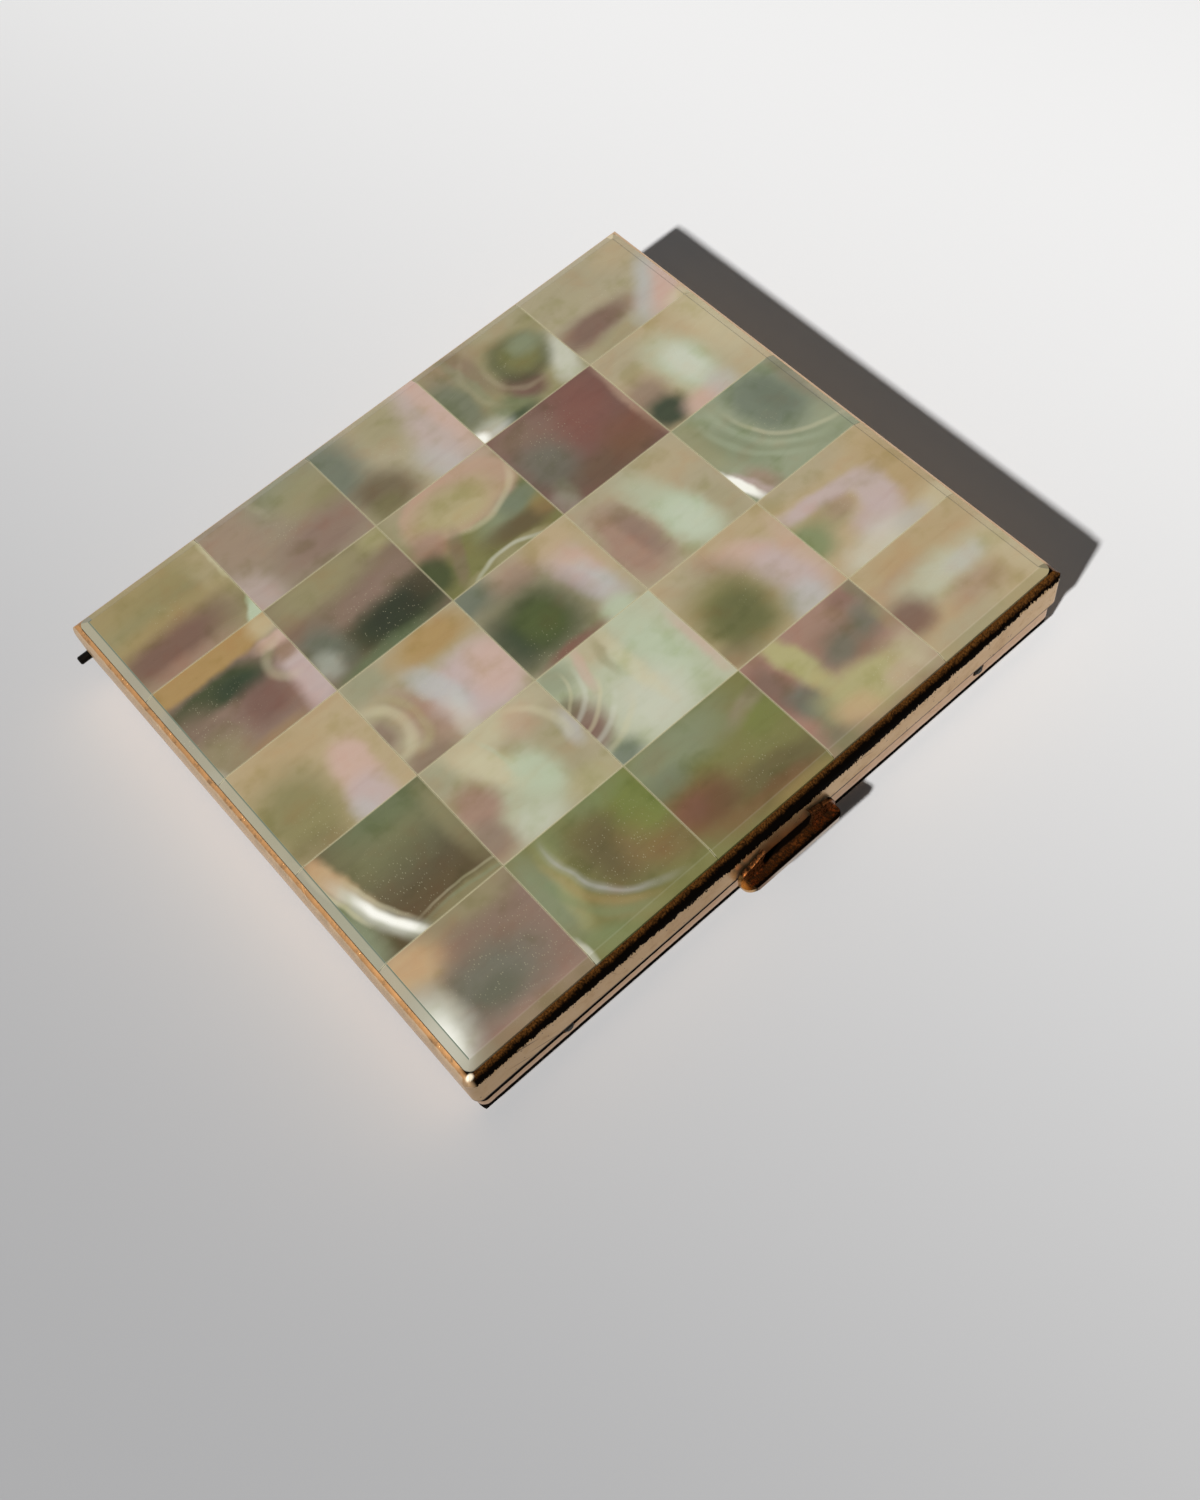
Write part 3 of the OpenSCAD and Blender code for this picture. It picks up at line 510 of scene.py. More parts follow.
      ("beige", -0.6, 0.7, 0.6, 0.4, 0, 0.7), ("rose", -0.05, 0.5, 0.3, 0.5, 35, 0.5),
      ("pink", 0.35, 0.3, 0.35, 0.6, 30, 0.8, 0.1), ("lilac", 0.55, -0.3, 0.4, 0.8, 8, 0.9, 0.1),
      ("ice", 0.4, -0.85, 0.35, 0.4, 0, 0.7), ("pink", 0.95, -0.1, 0.25, 0.9, 0, 0.5),
      ("olive", -0.4, -0.25, 0.75, 0.9, 6, 0.95, 0.05), ("moss", -0.4, -0.3, 0.55, 0.6, 0, 0.45),
      ("umber", -0.9, -0.8, 0.4, 0.3, 0, 0.4)], []),
    "tile_r4_c5": ("sand", [
      ("beige", -0.3, 0.9, 1, 0.3, 0, 0.7), ("gold", 0.75, 0, 0.4, 0.9, 0, 0.4),
      ("lilac", -0.35, 0.35, 0.9, 0.2, -6, 0.9, 0.2), ("lilac", 0.3, -0.15, 0.32, 0.55, -4, 0.9, 0.2),
      ("lilac", 0, -0.5, 0.45, 0.4, 20, 0.8, 0.1), ("frost", -0.35, -0.9, 0.7, 0.4, 8, 0.55),
      ("khaki", -0.45, 0, 0.35, 0.3, 0, 0.7), ("rose", -0.25, 0.05, 0.3, 0.25, 10, 0.5),
      ("jade", -0.95, -0.15, 0.4, 0.45, 0, 0.85, 0.1), ("ice", 0.35, -0.9, 0.4, 0.25, 0, 0.5),
      ("cream", 0.85, -0.9, 0.4, 0.3, 0, 0.4)], []),
    "tile_r5_c1": ("mauve", [
      ("peach", -0.7, 0.7, 0.6, 0.5, -15, 0.95, 0.1), ("khaki", 0.4, 0.95, 0.9, 0.4, 0, 0.7),
      ("taupe", 0.2, 0.3, 0.7, 0.5, 0, 0.5), ("slate", -0.05, -0.2, 0.85, 0.6, -5, 0.65),
      ("moss", -0.1, -0.4, 0.4, 0.28, 0, 0.3), ("rose", 0.3, -0.95, 0.9, 0.25, 0, 0.5),
      ("beige", -0.75, 0.05, 0.3, 0.5, 0, 0.5), ("frost", -0.98, -0.35, 0.5, 0.75, 0, 0.9),
      ("white", -1, -0.5, 0.3, 0.5, 0, 0.8)], []),
    "tile_r5_c2": ("olive", [
      ("sage", -0.9, 0.2, 0.3, 1, 0, 0.8), ("straw", -0.62, 0.1, 0.18, 0.9, -8, 0.4),
      ("jade", -0.4, 0.8, 0.25, 0.4, -10, 0.4), ("umber", 0.15, 0.1, 0.55, 0.8, 10, 0.75),
      ("gold", 0.5, -0.1, 0.4, 0.5, 0, 0.25), ("leaf", 0.8, 0.45, 0.5, 0.85, 8, 0.55),
      ("jade", 0.4, 0.95, 0.6, 0.25, 0, 0.5), ("sienna", 0.8, -0.4, 0.4, 0.4, 0, 0.4),
      ("jade", -0.6, -0.9, 0.6, 0.25, -25, 0.6), ("frost", -1, -0.85, 0.08, 0.35, 0, 0.7, 0.2),
      ("khaki", -0.2, -0.7, 0.2, 0.5, 40, 0.4)],
     [("gold", 0.95, 0.6, 1.62, 0.1, -0.5, -0.3, 1.2, 0.3),
      ("jade", 0.95, 0.6, 1.78, 0.1, -0.6, -0.3, 1.2, 0.4),
      ("ice", 0.95, 0.6, 1.48, 0.1, -0.3, -0.2, 1.3, 0.3),
      ("ice", 0.95, 0.6, 1.48, 0.04, -0.4, 0, 1, 0.3)]),
    "tile_r5_c3": ("olive", [
      ("sage", -0.4, 0.7, 1.1, 0.5, 3, 0.8), ("slate", -0.8, 0.3, 0.4, 0.3, 0, 0.4),
      ("drab", 0.75, 0.5, 0.5, 0.16, 14, 0.6), ("leaf", 0.8, 0.2, 0.5, 0.3, 10, 0.35),
      ("sienna", -0.65, -0.3, 0.7, 0.48, -8, 0.85), ("bark", -0.5, -0.35, 0.4, 0.3, 0, 0.3),
      ("wine", -0.8, -0.2, 0.3, 0.25, 0, 0.35), ("olive", 0.4, -0.2, 0.6, 0.35, 0, 0.5),
      ("umber", 0.4, -0.6, 0.9, 0.35, -6, 0.65), ("sienna", 0.1, -0.85, 1, 0.22, -3, 0.6),
      ("gold", 0.5, -1, 0.7, 0.12, 0, 0.4)], []),
    "tile_r5_c4": ("rose", [
      ("wine", -0.9, 0.4, 0.32, 0.65, 0, 0.7), ("slate", -0.85, 0.5, 0.2, 0.4, 0, 0.3),
      ("slate", -0.65, -0.2, 0.3, 0.5, 8, 0.85, 0.1), ("fern", -0.7, -0.8, 0.35, 0.4, 0, 0.6),
      ("straw", 0.1, -0.5, 0.9, 0.5, -8, 0.85, 0.1), ("straw", -0.4, 0.5, 0.22, 0.9, 8, 0.9, 0.2),
      ("taupe", 0.3, 0.3, 0.55, 0.5, -20, 0.9, 0.15), ("slate", 0.15, 0.2, 0.35, 0.25, 25, 0.5),
      ("slate", 0.75, 0.4, 0.3, 0.4, -20, 0.6), ("rose", 0.3, 0.8, 0.5, 0.25, 10, 0.6),
      ("plum", 0.7, 0.85, 0.25, 0.2, 0, 0.5), ("fern", 1, 0.85, 0.2, 0.3, 0, 0.5),
      ("khaki", 0.95, 0.2, 0.2, 0.4, 0, 0.5), ("peach", -0.3, -0.7, 0.4, 0.3, 0, 0.7),
      ("pink", 0.5, -0.7, 0.35, 0.25, 0, 0.4), ("cream", 0.9, -0.6, 0.3, 0.5, 0, 0.4)], []),
    "tile_r5_c5": ("sand", [
      ("gold", 0, 0.7, 1.2, 0.35, 0, 0.25), ("rose", -0.6, 0.4, 0.6, 0.25, 0, 0.3),
      ("celadon", -0.1, 0.12, 0.9, 0.4, -3, 0.7), ("frost", 0.1, 0.1, 0.6, 0.26, -3, 0.25),
      ("ice", 0.3, 0.05, 0.4, 0.2, 0, 0.4), ("plum", -0.85, -0.15, 0.42, 0.42, -8, 0.85),
      ("rose", 0.1, -0.4, 0.5, 0.35, 0, 0.5), ("beige", -0.4, -0.85, 0.7, 0.35, 0, 0.7),
      ("cream", 0.9, -0.3, 0.3, 0.8, 0, 0.3)], []),
}

# Where short bright nicks gather on a tile: middle u and v, and reach
NICKS = {
    "tile_r2_c1": (-0.5, -0.1, 0.7), "tile_r2_c2": (0.2, -0.3, 0.8), "tile_r2_c4": (-0.2, 0.4, 0.6),
    "tile_r3_c1": (-0.3, -0.7, 0.5), "tile_r3_c3": (-0.5, -0.7, 0.4), "tile_r4_c1": (-0.1, -0.2, 0.8),
    "tile_r5_c1": (0.3, -0.1, 0.9), "tile_r5_c2": (0.3, 0.0, 0.8), "tile_r5_c3": (0.35, -0.3, 0.5),
    "tile_r5_c4": (0.4, -0.5, 0.5),
}
FEW_NICKS = (0.0, 0.0, 0.35)

NACRE_IOR = 1.36
NACRE_DEPTH = 0.01 * MM
BEVEL_REACH = 1.2 * MM
LEFT_BEVEL_REACH = 1.5 * MM


def finish_surface(tree, shader, tone, rough, relief, depth, strength):
    """Sets the colour, the roughness and the relief of a surface on its shader."""
    tree.links.new(tone, shader.inputs["Base Color"])
    tree.links.new(rough, shader.inputs["Roughness"])
    bump = put(tree, "ShaderNodeBump", {"Height": relief, "Distance": depth, "Strength": strength})
    tree.links.new(bump.outputs[0], shader.inputs["Normal"])


def ground_edge(tree, tone, place, above_top):
    """The bevel that is ground round the panel: greener in front, greyer with a dark arris on the left,
    and lighter behind and much lighter on the right, painted light that makes up for the shade where
    the bevel leans out of the light."""
    across, along, _ = split(tree, place)
    from_left = minus(tree, across, float(panel_low[0]))
    from_front = minus(tree, along, float(panel_low[1]))
    near_left = times(tree, calc(tree, "LESS_THAN", from_left, LEFT_BEVEL_REACH),
                      calc(tree, "LESS_THAN", from_left, from_front))
    near_front = calc(tree, "LESS_THAN", from_front, BEVEL_REACH)
    near_right = calc(tree, "GREATER_THAN", across, float(panel_high[0]) - BEVEL_REACH)
    cover = ramp(tree, above_top, -0.01 * MM, -0.1 * MM)
    arris = times(tree, ramp(tree, above_top, -0.004 * MM, -0.02 * MM),
                  ramp(tree, above_top, -0.1 * MM, -0.05 * MM))
    # Painted light: the bevel is lightened behind, and much more on the right, where it leans out of the
    # lamp's light
    paler = times(tree, cover, ramp(tree, near_right, 0.0, 1.0, 0.2, 0.75))
    edge = mix(tree, paler, tone, tone, "ADD")
    green = mix(tree, times(tree, cover, 0.35), tone, NACRE["olive"])
    green = mix(tree, times(tree, arris, 0.06), green, NACRE["frost"])
    grey = mix(tree, times(tree, cover, 0.85), tone, LEFT_BEVEL_GREY)
    grey = mix(tree, arris, grey, NACRE["slate"])
    return mix(tree, near_left, mix(tree, near_front, edge, green), grey)


def nacre_material(tile_name, seed):
    """Mother-of-pearl for one tile: its patches and arcs on a gently bent place, then the growth
    lines, the shimmer, the ground edge of the panel, and its nicks and scratches."""
    low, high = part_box(tile_name)
    middle = ((low[0] + high[0]) / 2, (low[1] + high[1]) / 2, panel_top_z)
    half = ((high[0] - low[0]) / 2, (high[1] - low[1]) / 2, (high[0] - low[0]) / 2)
    ground, patches, arcs = TILE_PAINT[tile_name]
    material, tree, shader, place = new_material(tile_name.replace("tile_", "nacre_"))

    centred = vector_calc(tree, "SUBTRACT", place, middle)
    uv = vector_calc(tree, "DIVIDE", centred, half)
    shifted = vector_calc(tree, "ADD", uv, (seed, 2.7 * seed, 0.4 * seed))
    flat = vector_calc(tree, "MULTIPLY", wavy(tree, uv, shifted, 1.1, 0.22), (1, 1, 0))
    rippled = wavy(tree, flat, shifted, 4.5, 0.09)

    tone = NACRE[ground]
    for paint, *numbers in patches:
        tone = patch(tree, tone, NACRE[paint], rippled, *numbers)
    for paint, *numbers in arcs:
        tone = arc(tree, tone, NACRE[paint], flat, *numbers)

    growth_turn = 37.0 * seed
    rows = stretched(tree, rippled, (1.0, 6.0, 1.0), (seed, 0, 0), growth_turn)
    growth, _ = noise(tree, rows, 1.2, 3.0)
    cloud, _ = noise(tree, shifted, 1.9, 3.0)
    for level, low_end, high_end, amount, paint in (
            (growth, 0.45, 0.75, 0.12, "frost"), (growth, 0.5, 0.25, 0.08, "bark"),
            (cloud, 0.5, 0.75, 0.6, "lilac"), (cloud, 0.5, 0.25, 0.4, "leaf")):
        share = ramp(tree, level, low_end, high_end, 0.0, amount)
        tone = mix(tree, share, tone, NACRE[paint], "SOFT_LIGHT")

    above_top = split(tree, centred)[2]
    tone = ground_edge(tree, tone, place, above_top)
    side = split(tree, vector_calc(tree, "ABSOLUTE", uv))
    border = ramp(tree, larger(tree, side[0], side[1]), 0.983, 0.996, 0.0, 0.4)
    near_top = ramp(tree, above_top, -0.4 * MM, -0.3 * MM)
    tone = mix(tree, times(tree, border, near_top), tone, NACRE["cream"])

    scratches = fine_scratches(tree, place, 1300.0, growth_turn)
    nick_u, nick_v, nick_reach = NICKS.get(tile_name, FEW_NICKS)
    area = patch(tree, BLACK, WHITE, rippled, nick_u, nick_v, nick_reach, nick_reach)
    drawn = stretched(tree, place, (1.0, 0.6, 1.0), turn=20.0)
    nicks = times(tree, scattered_specks(tree, drawn, 4800.0, 0.3, 0.3), area)
    tone = mix(tree, times(tree, nicks, 0.3), tone, NACRE["cream"])
    patchy, _ = noise(tree, shifted, 1.3)
    rough = plus(tree, ramp(tree, patchy, 0.3, 0.7, 0.20, 0.32), times(tree, scratches, 0.12))
    relief = plus(tree, times(tree, growth, 0.25), times(tree, scratches, -0.5))
    relief = minus(tree, relief, times(tree, nicks, 0.5))
    finish_surface(tree, shader, tone, rough, relief, NACRE_DEPTH, 0.5)
    shader.inputs["IOR"].default_value = NACRE_IOR
    return material


# Metals

SHELL_DEPTH = 0.03 * MM
SMALL_DEPTH = 0.02 * MM
# How metallic the painted shade and the painted dark reflections stay
PAINTED_DARK_METALLIC = 0.03


def finish_metal(tree, shader, tone, rough, relief, depth):
    """Sets a metal's colour, roughness and relief on its shader."""
    finish_surface(tree, shader, tone, rough, relief, depth, 0.6)
    shader.inputs["Metallic"].default_value = 1.0


def dull_painted_dark(tree, shader, bare):
    """Keeps a surface metal by the share of it that is bare, and takes the gloss off the rest, which is
    painted shade and painted reflection of dark.
    """
    tree.links.new(bare, shader.inputs["Metallic"])
    shader.inputs["Specular IOR Level"].default_value = 0.0


def worn_gilt(tree, place):
    """The satin gilt of both shells: its colour, roughness and relief, with pits, and with scratches
    laid on a place that is unrolled from the four walls."""
    fine, _ = noise(tree, place, 620.0, 5.0, 0.7)
    broad, _ = noise(tree, place, 55.0, 3.0, 0.6)
    tone = mix(tree, ramp(tree, broad, 0.3, 0.7), GILT, GILT_PALE)
    tone = mix(tree, ramp(tree, fine, 0.5, 0.8, 0.0, 0.55), tone, GILT_BROWN)
    across, along, height = split(tree, place)
    lean = times(tree, minus(tree, across, along), 0.5)
    unrolled = put(tree, "ShaderNodeCombineXYZ",
                   {0: plus(tree, across, along), 1: plus(tree, height, lean)}).outputs[0]
    marks = fine_scratches(tree, unrolled, 1500.0, 0.0)
    pits = scattered_specks(tree, place, 2200.0, 0.1, 0.25)
    tone = mix(tree, times(tree, marks, 0.8), tone, GILT_SCRATCH)
    tone = mix(tree, times(tree, pits, 0.8), tone, TARNISH_AND_PAINTED_DARK)
    rough = plus(tree, ramp(tree, fine, 0.2, 0.8, 0.3, 0.46), times(tree, marks, 0.1))
    relief = minus(tree, times(tree, fine, 0.35), pits)
    relief = minus(tree, relief, times(tree, marks, 0.6))
    return tone, rough, relief


def painted_shoulder_reflection(tree, tone, place, tear):
    """Lays gold on the lid's shoulder, a painted reflection. On the left the gold is darker and spotted,
    and the wall below it is lightened by a painted highlight. Returns the colour and the share of each
    place that is shoulder."""
    across, along, height = split(tree, place)
    at_left = times(tree, ramp(tree, across, lid_left_x + 2.2 * MM, lid_left_x + 1.4 * MM),
                    ramp(tree, along, lid_front_y + 0.8 * MM, lid_front_y + 1.5 * MM))
    shoulder_z = ramp(tree, at_left, 0.0, 1.0, rim_z - 1.2 * MM, rim_z - 0.55 * MM)
    above = minus(tree, jitter(tree, height, ((tear, 0.3),)), shoulder_z)
    shoulder = ramp(tree, above, 0.0, 0.15 * MM)
    # A painted highlight on the left wall below the shoulder
    left_wall_highlight = times(tree, at_left, ramp(tree, height, rim_z - 1.6 * MM, rim_z - 1.1 * MM, 0.1, 0.65))
    tone = mix(tree, left_wall_highlight, tone, LEFT_WALL_HIGHLIGHT)
    gold = mix(tree, at_left, SHOULDER_REFLECTION_GOLD, LEFT_SHOULDER_REFLECTION_GOLD)
    spotted = times(tree, at_left, ramp(tree, tear, 0.52, 0.66, 0.0, 0.55))
    gold = mix(tree, spotted, gold, REFLECTION_AND_SPECK_BROWN)
    return mix(tree, times(tree, shoulder, 0.85), tone, gold), shoulder


def painted_front_reflection(tree, tone, place, tear):
    """Paints reflections on the lid's front: gold brown streaks next to the pearl, and black below where
    the metal reflects dark surroundings. The black has a torn lower edge that dips in the middle and
    rises at the right. A thin dark line of painted shade borders the pearl, faint off the front. Returns
    the colour and the share of each place that is painted dark."""
    across, along, height = split(tree, place)
    hairs, _ = noise(tree, stretched(tree, place, (1.0, 1.0, 0.3)), 5200.0, 3.0, 0.6)
    sway, _ = noise(tree, place, 40.0)
    at_front = times(tree, ramp(tree, along, lid_front_y + 2.4 * MM, lid_front_y + 1.5 * MM),
                     ramp(tree, across, lid_left_x + 0.5 * MM, lid_left_x + 1.1 * MM))

    # Painted reflection: black below the shoulder, where the metal reflects dark surroundings
    torn_z = rim_z - 1.52 * MM
    dip = patch(tree, BLACK, WHITE, place, 4 * MM, lid_front_y, 34 * MM, 9 * MM)
    edge = jitter(tree, height, ((tear, 1.9), (hairs, 1.7), (sway, 0.9)))
    edge = plus(tree, edge, times(tree, dip, 0.95 * MM))
    edge = minus(tree, edge, ramp(tree, across, 10 * MM, 40 * MM, 0.0, 0.35 * MM))
    black = ramp(tree, edge, torn_z - 0.04 * MM, torn_z + 0.04 * MM)
    specks = times(tree, scattered_specks(tree, place, 2600.0, 0.4, 0.36),
                   ramp(tree, edge, torn_z - 1.0 * MM, torn_z))
    black = times(tree, larger(tree, black, specks), at_front)
    tone = mix(tree, black, tone, TARNISH_AND_PAINTED_DARK)

    # Painted reflection: brown gold streaks next to the pearl
    grain = jitter(tree, height, ((tear, 0.7), (hairs, 0.5)))
    grain = plus(tree, grain, ramp(tree, across, 10 * MM, 40 * MM, 0.0, 0.25 * MM))
    brown = times(tree, ramp(tree, grain, rim_z - 0.65 * MM, rim_z), at_front)
    streaked = mix(tree, ramp(tree, hairs, 0.3, 0.8, 0.1, 0.9), REFLECTION_AND_SPECK_BROWN, FRONT_REFLECTION_GOLD_BROWN)
    tone = mix(tree, brown, tone, streaked)
    # Painted shade: a thin dark line where the pearl's edge overhangs the metal
    line = times(tree, ramp(tree, height, rim_z - 0.13 * MM, rim_z - 0.09 * MM),
                 ramp(tree, at_front, 0.0, 1.0, 0.3, 1.0))
    tone = mix(tree, line, tone, TARNISH_AND_PAINTED_DARK)
    return tone, larger(tree, minus(tree, black, brown), line)


def lid_material():
    """Gilt of the lid: satin walls with a shoulder of painted golden reflection, painted dark reflections
    on the front, a painted glint on the front left corner and painted shade along the bottom lip."""
    material, tree, shader, place = new_material("lid_gilt")
    tone, rough, relief = worn_gilt(tree, place)
    tear, _ = noise(tree, place, 640.0, 5.0, 0.75)
    tone, shoulder = painted_shoulder_reflection(tree, tone, place, tear)
    tone, painted_dark = painted_front_reflection(tree, tone, place, tear)
    # A painted glint on the shoulder at the front left corner
    glint = patch(tree, BLACK, WHITE, place, lid_left_x + 0.9 * MM, lid_front_y + 0.8 * MM,
                  0.5 * MM, 0.32 * MM, crisp=0.3)
    tone = mix(tree, times(tree, glint, shoulder), tone, CORNER_GLINT)
    # Painted shade: a dark band along the lid's lower lip, over the gap to the tray
    height = split(tree, place)[2]
    lip = ramp(tree, height, lid_foot_z + 0.26 * MM, lid_foot_z + 0.12 * MM, 0.0, 0.9)
    tone = mix(tree, lip, tone, LIP_SHADE_BROWN)
    finish_metal(tree, shader, tone, rough, relief, SHELL_DEPTH)
    dull_painted_dark(tree, shader, ramp(tree, painted_dark, 0.0, 1.0, 1.0, PAINTED_DARK_METALLIC))
    return material


def tray_material():
    """Gilt of the tray: the same satin, a little pinker, and lighter near the foot of the wall with a
    painted highlight. Painted shade makes a dark line under the lid's edge, wider at the left, and a dark
    band where the wall rolls under; both are faint off the front."""
    material, tree, shader, place = new_material("tray_gilt")
    tone, rough, relief = worn_gilt(tree, place)
    tone = mix(tree, 0.4, tone, TRAY_PINK)
    across, along, height = split(tree, place)
    # A painted highlight near the foot of the wall
    tone = mix(tree, ramp(tree, height, 4.4 * MM, 3.4 * MM, 0.0, 0.4), tone, TRAY_FOOT_HIGHLIGHT)

    # Painted shade: a dark line in the gap under the lid's edge, and a dark band where the wall rolls under
    shade_jitter, _ = noise(tree, place, 900.0, 4.0, 0.7)
    level = jitter(tree, height, ((shade_jitter, 0.3),))
    top_z = tray_high[2]
    line_z = ramp(tree, across, tray_low[0], 0.5 * tray_high[0], top_z - 1.7 * MM, top_z - 0.95 * MM)
    line = times(tree, ramp(tree, minus(tree, level, line_z), -0.05 * MM, 0.05 * MM),
                 ramp(tree, height, top_z - 0.3 * MM, top_z - 0.5 * MM))
    roll = times(tree, ramp(tree, level, 3.5 * MM, 3.35 * MM), ramp(tree, level, 0.5 * MM, 1.3 * MM))
    at_front = ramp(tree, along, tray_low[1] + 1.2 * MM, tray_low[1] + 0.7 * MM, 0.3, 1.0)
    painted_dark = times(tree, larger(tree, line, roll), at_front)
    tone = mix(tree, painted_dark, tone, TARNISH_AND_PAINTED_DARK)
    finish_metal(tree, shader, tone, rough, relief, SHELL_DEPTH)
    dull_painted_dark(tree, shader, ramp(tree, painted_dark, 0.0, 1.0, 1.0, PAINTED_DARK_METALLIC))
    return material


def catch_material():
    """Red gilt of the thumb-piece: painted black at the root, which is painted shade, and towards its outer
    edge, which is a painted reflection of dark, mottled brown gold between, and darker on the claws. Its
    left end has a painted golden highlight, and its rim a painted highlight that runs from brown at the
    left to pale."""
    material, tree, shader, place = new_material("catch_red_gilt")
    across, along, height = split(tree, place)
    grain, _ = noise(tree, stretched(tree, place, (1, 0.6, 0.6)), 3600.0, 3.0, 0.75)
    blotch, _ = noise(tree, place, 900.0, 3.0, 0.6)
    left_x, tip_y = float(catch_low[0]), float(catch_low[1])
    depth = lid_front_y - tip_y
    # Painted shade at the root and a painted reflection of dark at the outer edge, with the brown gold
    # between
    out = jitter(tree, along, ((blotch, 0.5), (grain, 0.4)))
    glow = times(tree, ramp(tree, out, lid_front_y - 0.12 * depth, lid_front_y - 0.3 * depth),
                 ramp(tree, out, lid_front_y - 0.78 * depth, lid_front_y - 0.6 * depth))
    on_claw = ramp(tree, height, lid_foot_z + 0.9 * MM, lid_foot_z + 1.3 * MM)
    glow = larger(tree, glow, times(tree, on_claw, 0.18))
    glow = times(tree, glow, ramp(tree, grain, 0.42, 0.62, 0.05, 1.0))
    glow = times(tree, glow, ramp(tree, blotch, 0.3, 0.6, 0.45, 1.0))
    tone = mix(tree, glow, CATCH_PAINTED_BLACK, CATCH_GLOW)

    # A painted highlight on the left end
    left_end = ramp(tree, jitter(tree, across, ((blotch, 0.8),)), left_x + 1.0 * MM, left_x + 0.3 * MM)
    low_part = ramp(tree, height, lid_foot_z + 1.0 * MM, lid_foot_z + 0.3 * MM)
    golden = times(tree, times(tree, left_end, low_part), 0.9)
    tone = mix(tree, golden, tone, CATCH_LEFT_HIGHLIGHT)
    # A painted highlight along the rim
    rim = ramp(tree, along, tip_y + 0.13 * MM, tip_y + 0.06 * MM)
    rim_highlight = mix(tree, ramp(tree, across, left_x + 2.0 * MM, left_x + 4.0 * MM),
               CATCH_RIM_BROWN, CATCH_RIM_HIGHLIGHT)
    tone = mix(tree, times(tree, rim, 0.85), tone, rim_highlight)
    lit = larger(tree, larger(tree, glow, golden), rim)
    finish_metal(tree, shader, tone, ramp(tree, grain, 0.2, 0.8, 0.22, 0.4), grain, SMALL_DEPTH)
    dull_painted_dark(tree, shader, ramp(tree, lit, 0.0, 0.3, 0.1, 1.0))
    return material


def plain_metal(name, tone_low, tone_high, rough_low, rough_high):
    """A metal whose colour and gloss drift between two tones, with fine drawn lines and scratches."""
    material, tree, shader, place = new_material(name)
    drift, _ = noise(tree, place, 130.0, 4.0, 0.6)
    lines, _ = noise(tree, stretched(tree, place, (1, 12, 1)), 900.0, 2.0, 0.6)
    marks = fine_scratches(tree, place, 700.0, 30.0)
    tone = mix(tree, ramp(tree, drift, 0.3, 0.75), tone_low, tone_high)
    tone = mix(tree, times(tree, marks, 0.25), tone, tone_low, "MULTIPLY")
    rough = plus(tree, ramp(tree, drift, 0.2, 0.8, rough_low, rough_high), times(tree, marks, 0.12))
    relief = plus(tree, times(tree, lines, 0.3), times(tree, marks, -0.5))
    finish_metal(tree, shader, tone, rough, relief, SMALL_DEPTH)
    return material


def dress(node_name, material):
    """Gives a CAD node a material of this script."""
    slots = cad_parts[node_name].data.materials
    slots.clear()
    slots.append(material)


# The shift of a tile's noise: the first one's, and the step to the next
FIRST_SEED = 0.5
SEED_STEP = 1.37

for number in range(TILE_ROWS * TILE_COLS):
    tile_name = "tile_r%d_c%d" % (number // TILE_COLS + 1, number % TILE_COLS + 1)
    dress(tile_name, nacre_material(tile_name, SEED_STEP * number + FIRST_SEED))

dress("lid_frame", lid_material())
dress("tray_shell", tray_material())

# Each plain metal: darker tone, paler tone, roughness from and to, and its pieces
PLAIN_METALS = {
    "liner_gilt": (rgb(214, 180, 124), rgb(230, 200, 146), 0.16, 0.3, ["lid_liner", "tray_liner"]),
    "plain_brass": (rgb(146, 114, 70), rgb(190, 156, 106), 0.28, 0.45,
                    ["tile_backing", "lid_hinge_leaf", "tray_hinge_leaf", "catch_rivets",
                     "bail_eyelet_left", "bail_eyelet_right"]),
    "bail_wire": (rgb(194, 158, 98), rgb(228, 196, 138), 0.16, 0.3, ["cigarette_bail"]),
    "spring_steel": (rgb(20, 20, 19), rgb(42, 41, 37), 0.4, 0.55, ["catch_spring"]),
    "pin_steel": (rgb(10, 9, 8), rgb(30, 27, 24), 0.35, 0.5, ["hinge_pin"]),
}
for metal_name, (*looks, node_names) in PLAIN_METALS.items():
    metal = plain_metal(metal_name, *looks)
    for node_name in node_names:
        dress(node_name, metal)
dress("thumb_catch", catch_material())


# Cement in the joints between the tiles

CEMENT_DROP = 0.03 * MM
CEMENT_INSET = 1.3 * MM
CROSSING_DROP = 0.005 * MM


def strips(name, boxes):
    """Closed boxes as one mesh: each row of the array is low x, y, z and high x, y, z."""
    corner = np.array([[x, y, z] for x in (0, 1) for y in (0, 1) for z in (0, 1)])
    faces = np.array([[0, 1, 3, 2], [4, 6, 7, 5], [0, 4, 5, 1], [2, 3, 7, 6], [0, 2, 6, 4], [1, 5, 7, 3]])
    low, high = boxes[:, None, :3], boxes[:, None, 3:]
    points = (low + (high - low) * corner[None]).reshape(-1, 3)
    sides = (faces[None] + 8 * np.arange(len(boxes))[:, None, None]).reshape(-1, 4)
    mesh = bpy.data.meshes.new(name)
    mesh.from_pydata(points.tolist(), [], sides.tolist())
    return new_object(name, mesh)


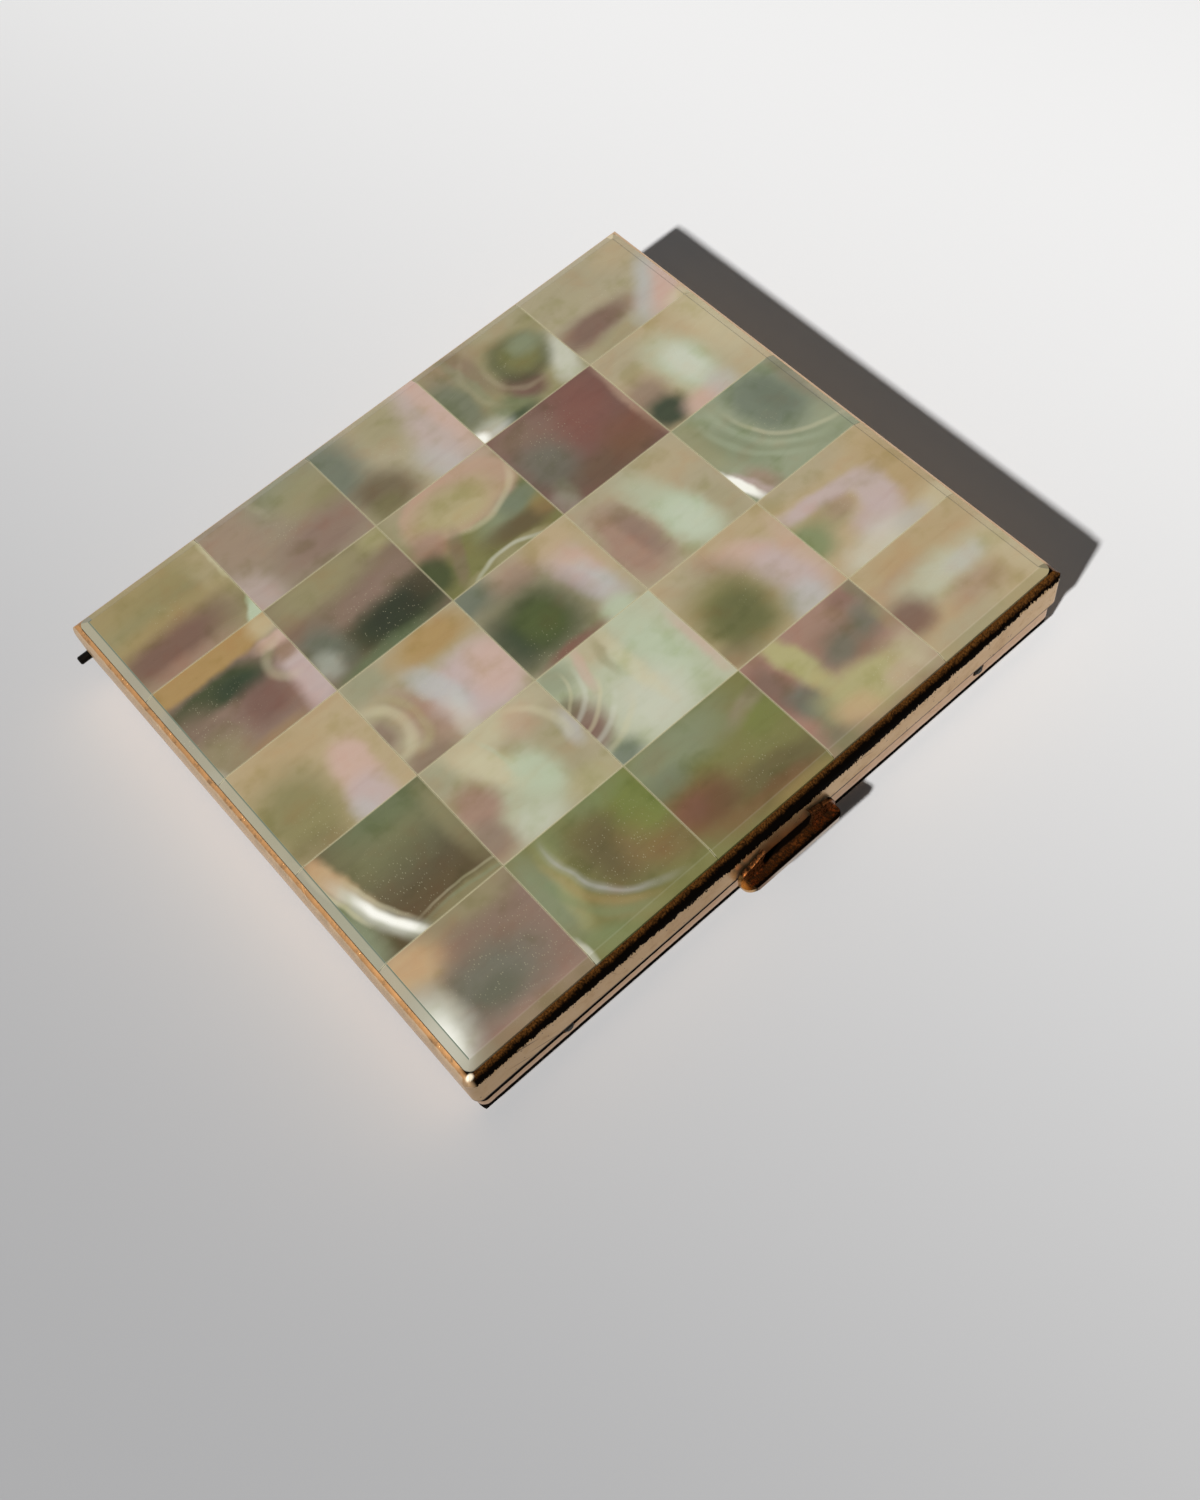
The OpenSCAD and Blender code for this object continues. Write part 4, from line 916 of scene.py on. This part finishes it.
def tile_cement():
    """Strips that fill the joints between the tiles to just under their top. The strips between rows
    lie a little lower, so that no two tops share a plane where they cross."""
    foot, top = first_low[2], panel_top_z - CEMENT_DROP
    start = [part + CEMENT_INSET for part in panel_low]
    end = [part - CEMENT_INSET for part in panel_high]
    boxes = []
    for col in range(1, TILE_COLS):
        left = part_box("tile_r1_c%d" % col)[1][0]
        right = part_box("tile_r1_c%d" % (col + 1))[0][0]
        boxes.append([left, start[1], foot, right, end[1], top])
    for row in range(1, TILE_ROWS):
        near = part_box("tile_r%d_c1" % (row + 1))[1][1]
        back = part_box("tile_r%d_c1" % row)[0][1]
        boxes.append([start[0], near, foot, end[0], back, top - CROSSING_DROP])
    piece = strips("tile_cement", np.array(boxes))
    material, tree, shader, place = new_material("joint_cement")
    level, _ = noise(tree, place, 700.0, 3.0)
    tree.links.new(mix(tree, level, CEMENT_DARK, CEMENT_PALE), shader.inputs["Base Color"])
    tree.links.new(ramp(tree, level, 0.2, 0.8, 0.5, 0.8), shader.inputs["Roughness"])
    piece.data.materials.append(material)
    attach(piece, "lid")


tile_cement()


# Floor, light and camera

FLOOR_HALF = 6.0
# The floor's painted light: the way along which it grows paler, and half the reach of the change
FLOOR_FADE_WAY = (0.976, 0.217, 0)
FLOOR_FADE_HALF = 0.12
WORLD_AS_LIGHT = 0.08
WORLD_AS_SEEN = 0.9


def pale_floor():
    """A plain pale floor under the case with painted light: greyer on the left than on the right, as the
    light falls off across it.
    """
    mesh = bpy.data.meshes.new("floor")
    corners = [(x * FLOOR_HALF, y * FLOOR_HALF, 0) for x, y in ((-1, -1), (1, -1), (1, 1), (-1, 1))]
    mesh.from_pydata(corners, [], [(0, 1, 2, 3)])
    floor = new_object("floor", mesh)
    material, tree, shader, place = new_material("pale_floor")
    fading = vector_number(tree, "DOT_PRODUCT", place, FLOOR_FADE_WAY)
    shade = ramp(tree, fading, -FLOOR_FADE_HALF, FLOOR_FADE_HALF)
    tree.links.new(mix(tree, shade, FLOOR_GREY, FLOOR_PALE), shader.inputs["Base Color"])
    shader.inputs["Roughness"].default_value = 0.9
    shader.inputs["Specular IOR Level"].default_value = 0.1
    mesh.materials.append(material)


def studio_world():
    """Even pale surroundings: white to the camera and in reflections, much dimmer as light."""
    world = bpy.data.worlds.new("studio")
    bpy.context.scene.world = world
    world.use_nodes = True
    tree = world.node_tree
    back = tree.nodes["Background"]
    path = tree.nodes.new("ShaderNodeLightPath").outputs
    seen = larger(tree, path["Is Camera Ray"], path["Is Glossy Ray"])
    seen = larger(tree, seen, path["Is Transmission Ray"])
    tree.links.new(ramp(tree, seen, 0.0, 1.0, WORLD_AS_LIGHT, WORLD_AS_SEEN), back.inputs["Strength"])
    back.inputs["Color"].default_value = WHITE


def area_lamp(name, towards, distance, size, watts, tint):
    """A square lamp that shines on the case from a direction."""
    lamp = bpy.data.lights.new(name, "AREA")
    lamp.size = size
    lamp.energy = watts
    lamp.color = tint
    holder = new_object(name, lamp)
    away = Vector(towards).normalized()
    holder.location = away * distance
    holder.rotation_euler = away.to_track_quat("Z", "Y").to_euler()


# The camera that was fitted to the tile corners in the photograph: degrees, pixels and millimetres
CAMERA_PLACE = Vector((-50.3, -93.5, 169.9)) * MM
CAMERA_AZIMUTH = 29.04
CAMERA_ELEVATION = 61.5
CAMERA_ROLL = 13.54
FOCAL_PIXELS = 1657.8
PHOTO_HEIGHT = 1500
SENSOR = 36.0


def photo_camera():
    """The camera at the photograph's place: azimuth from +Y, elevation down, roll about the view."""
    azimuth, elevation, roll = (math.radians(a) for a in (CAMERA_AZIMUTH, CAMERA_ELEVATION, CAMERA_ROLL))
    ahead = Vector((math.sin(azimuth) * math.cos(elevation), math.cos(azimuth) * math.cos(elevation),
                    -math.sin(elevation)))
    level = Vector((math.cos(azimuth), -math.sin(azimuth), 0))
    above = level.cross(ahead)
    right = level * math.cos(roll) - above * math.sin(roll)
    up = right.cross(ahead)
    camera = bpy.data.cameras.new("photo_camera")
    camera.sensor_width = SENSOR
    camera.lens = FOCAL_PIXELS / PHOTO_HEIGHT * SENSOR
    camera.clip_start = 0.01
    holder = new_object("photo_camera", camera)
    turn = Matrix((right, up, -ahead)).transposed().to_4x4()
    holder.matrix_world = Matrix.Translation(CAMERA_PLACE) @ turn
    bpy.context.scene.camera = holder


pale_floor()
studio_world()
area_lamp("key", towards=(-1.135, -0.33, 1.0), distance=6.0, size=0.26, watts=494.0,
          tint=(1.0, 0.985, 0.96))
photo_camera()
bpy.context.scene.view_settings.view_transform = "Standard"
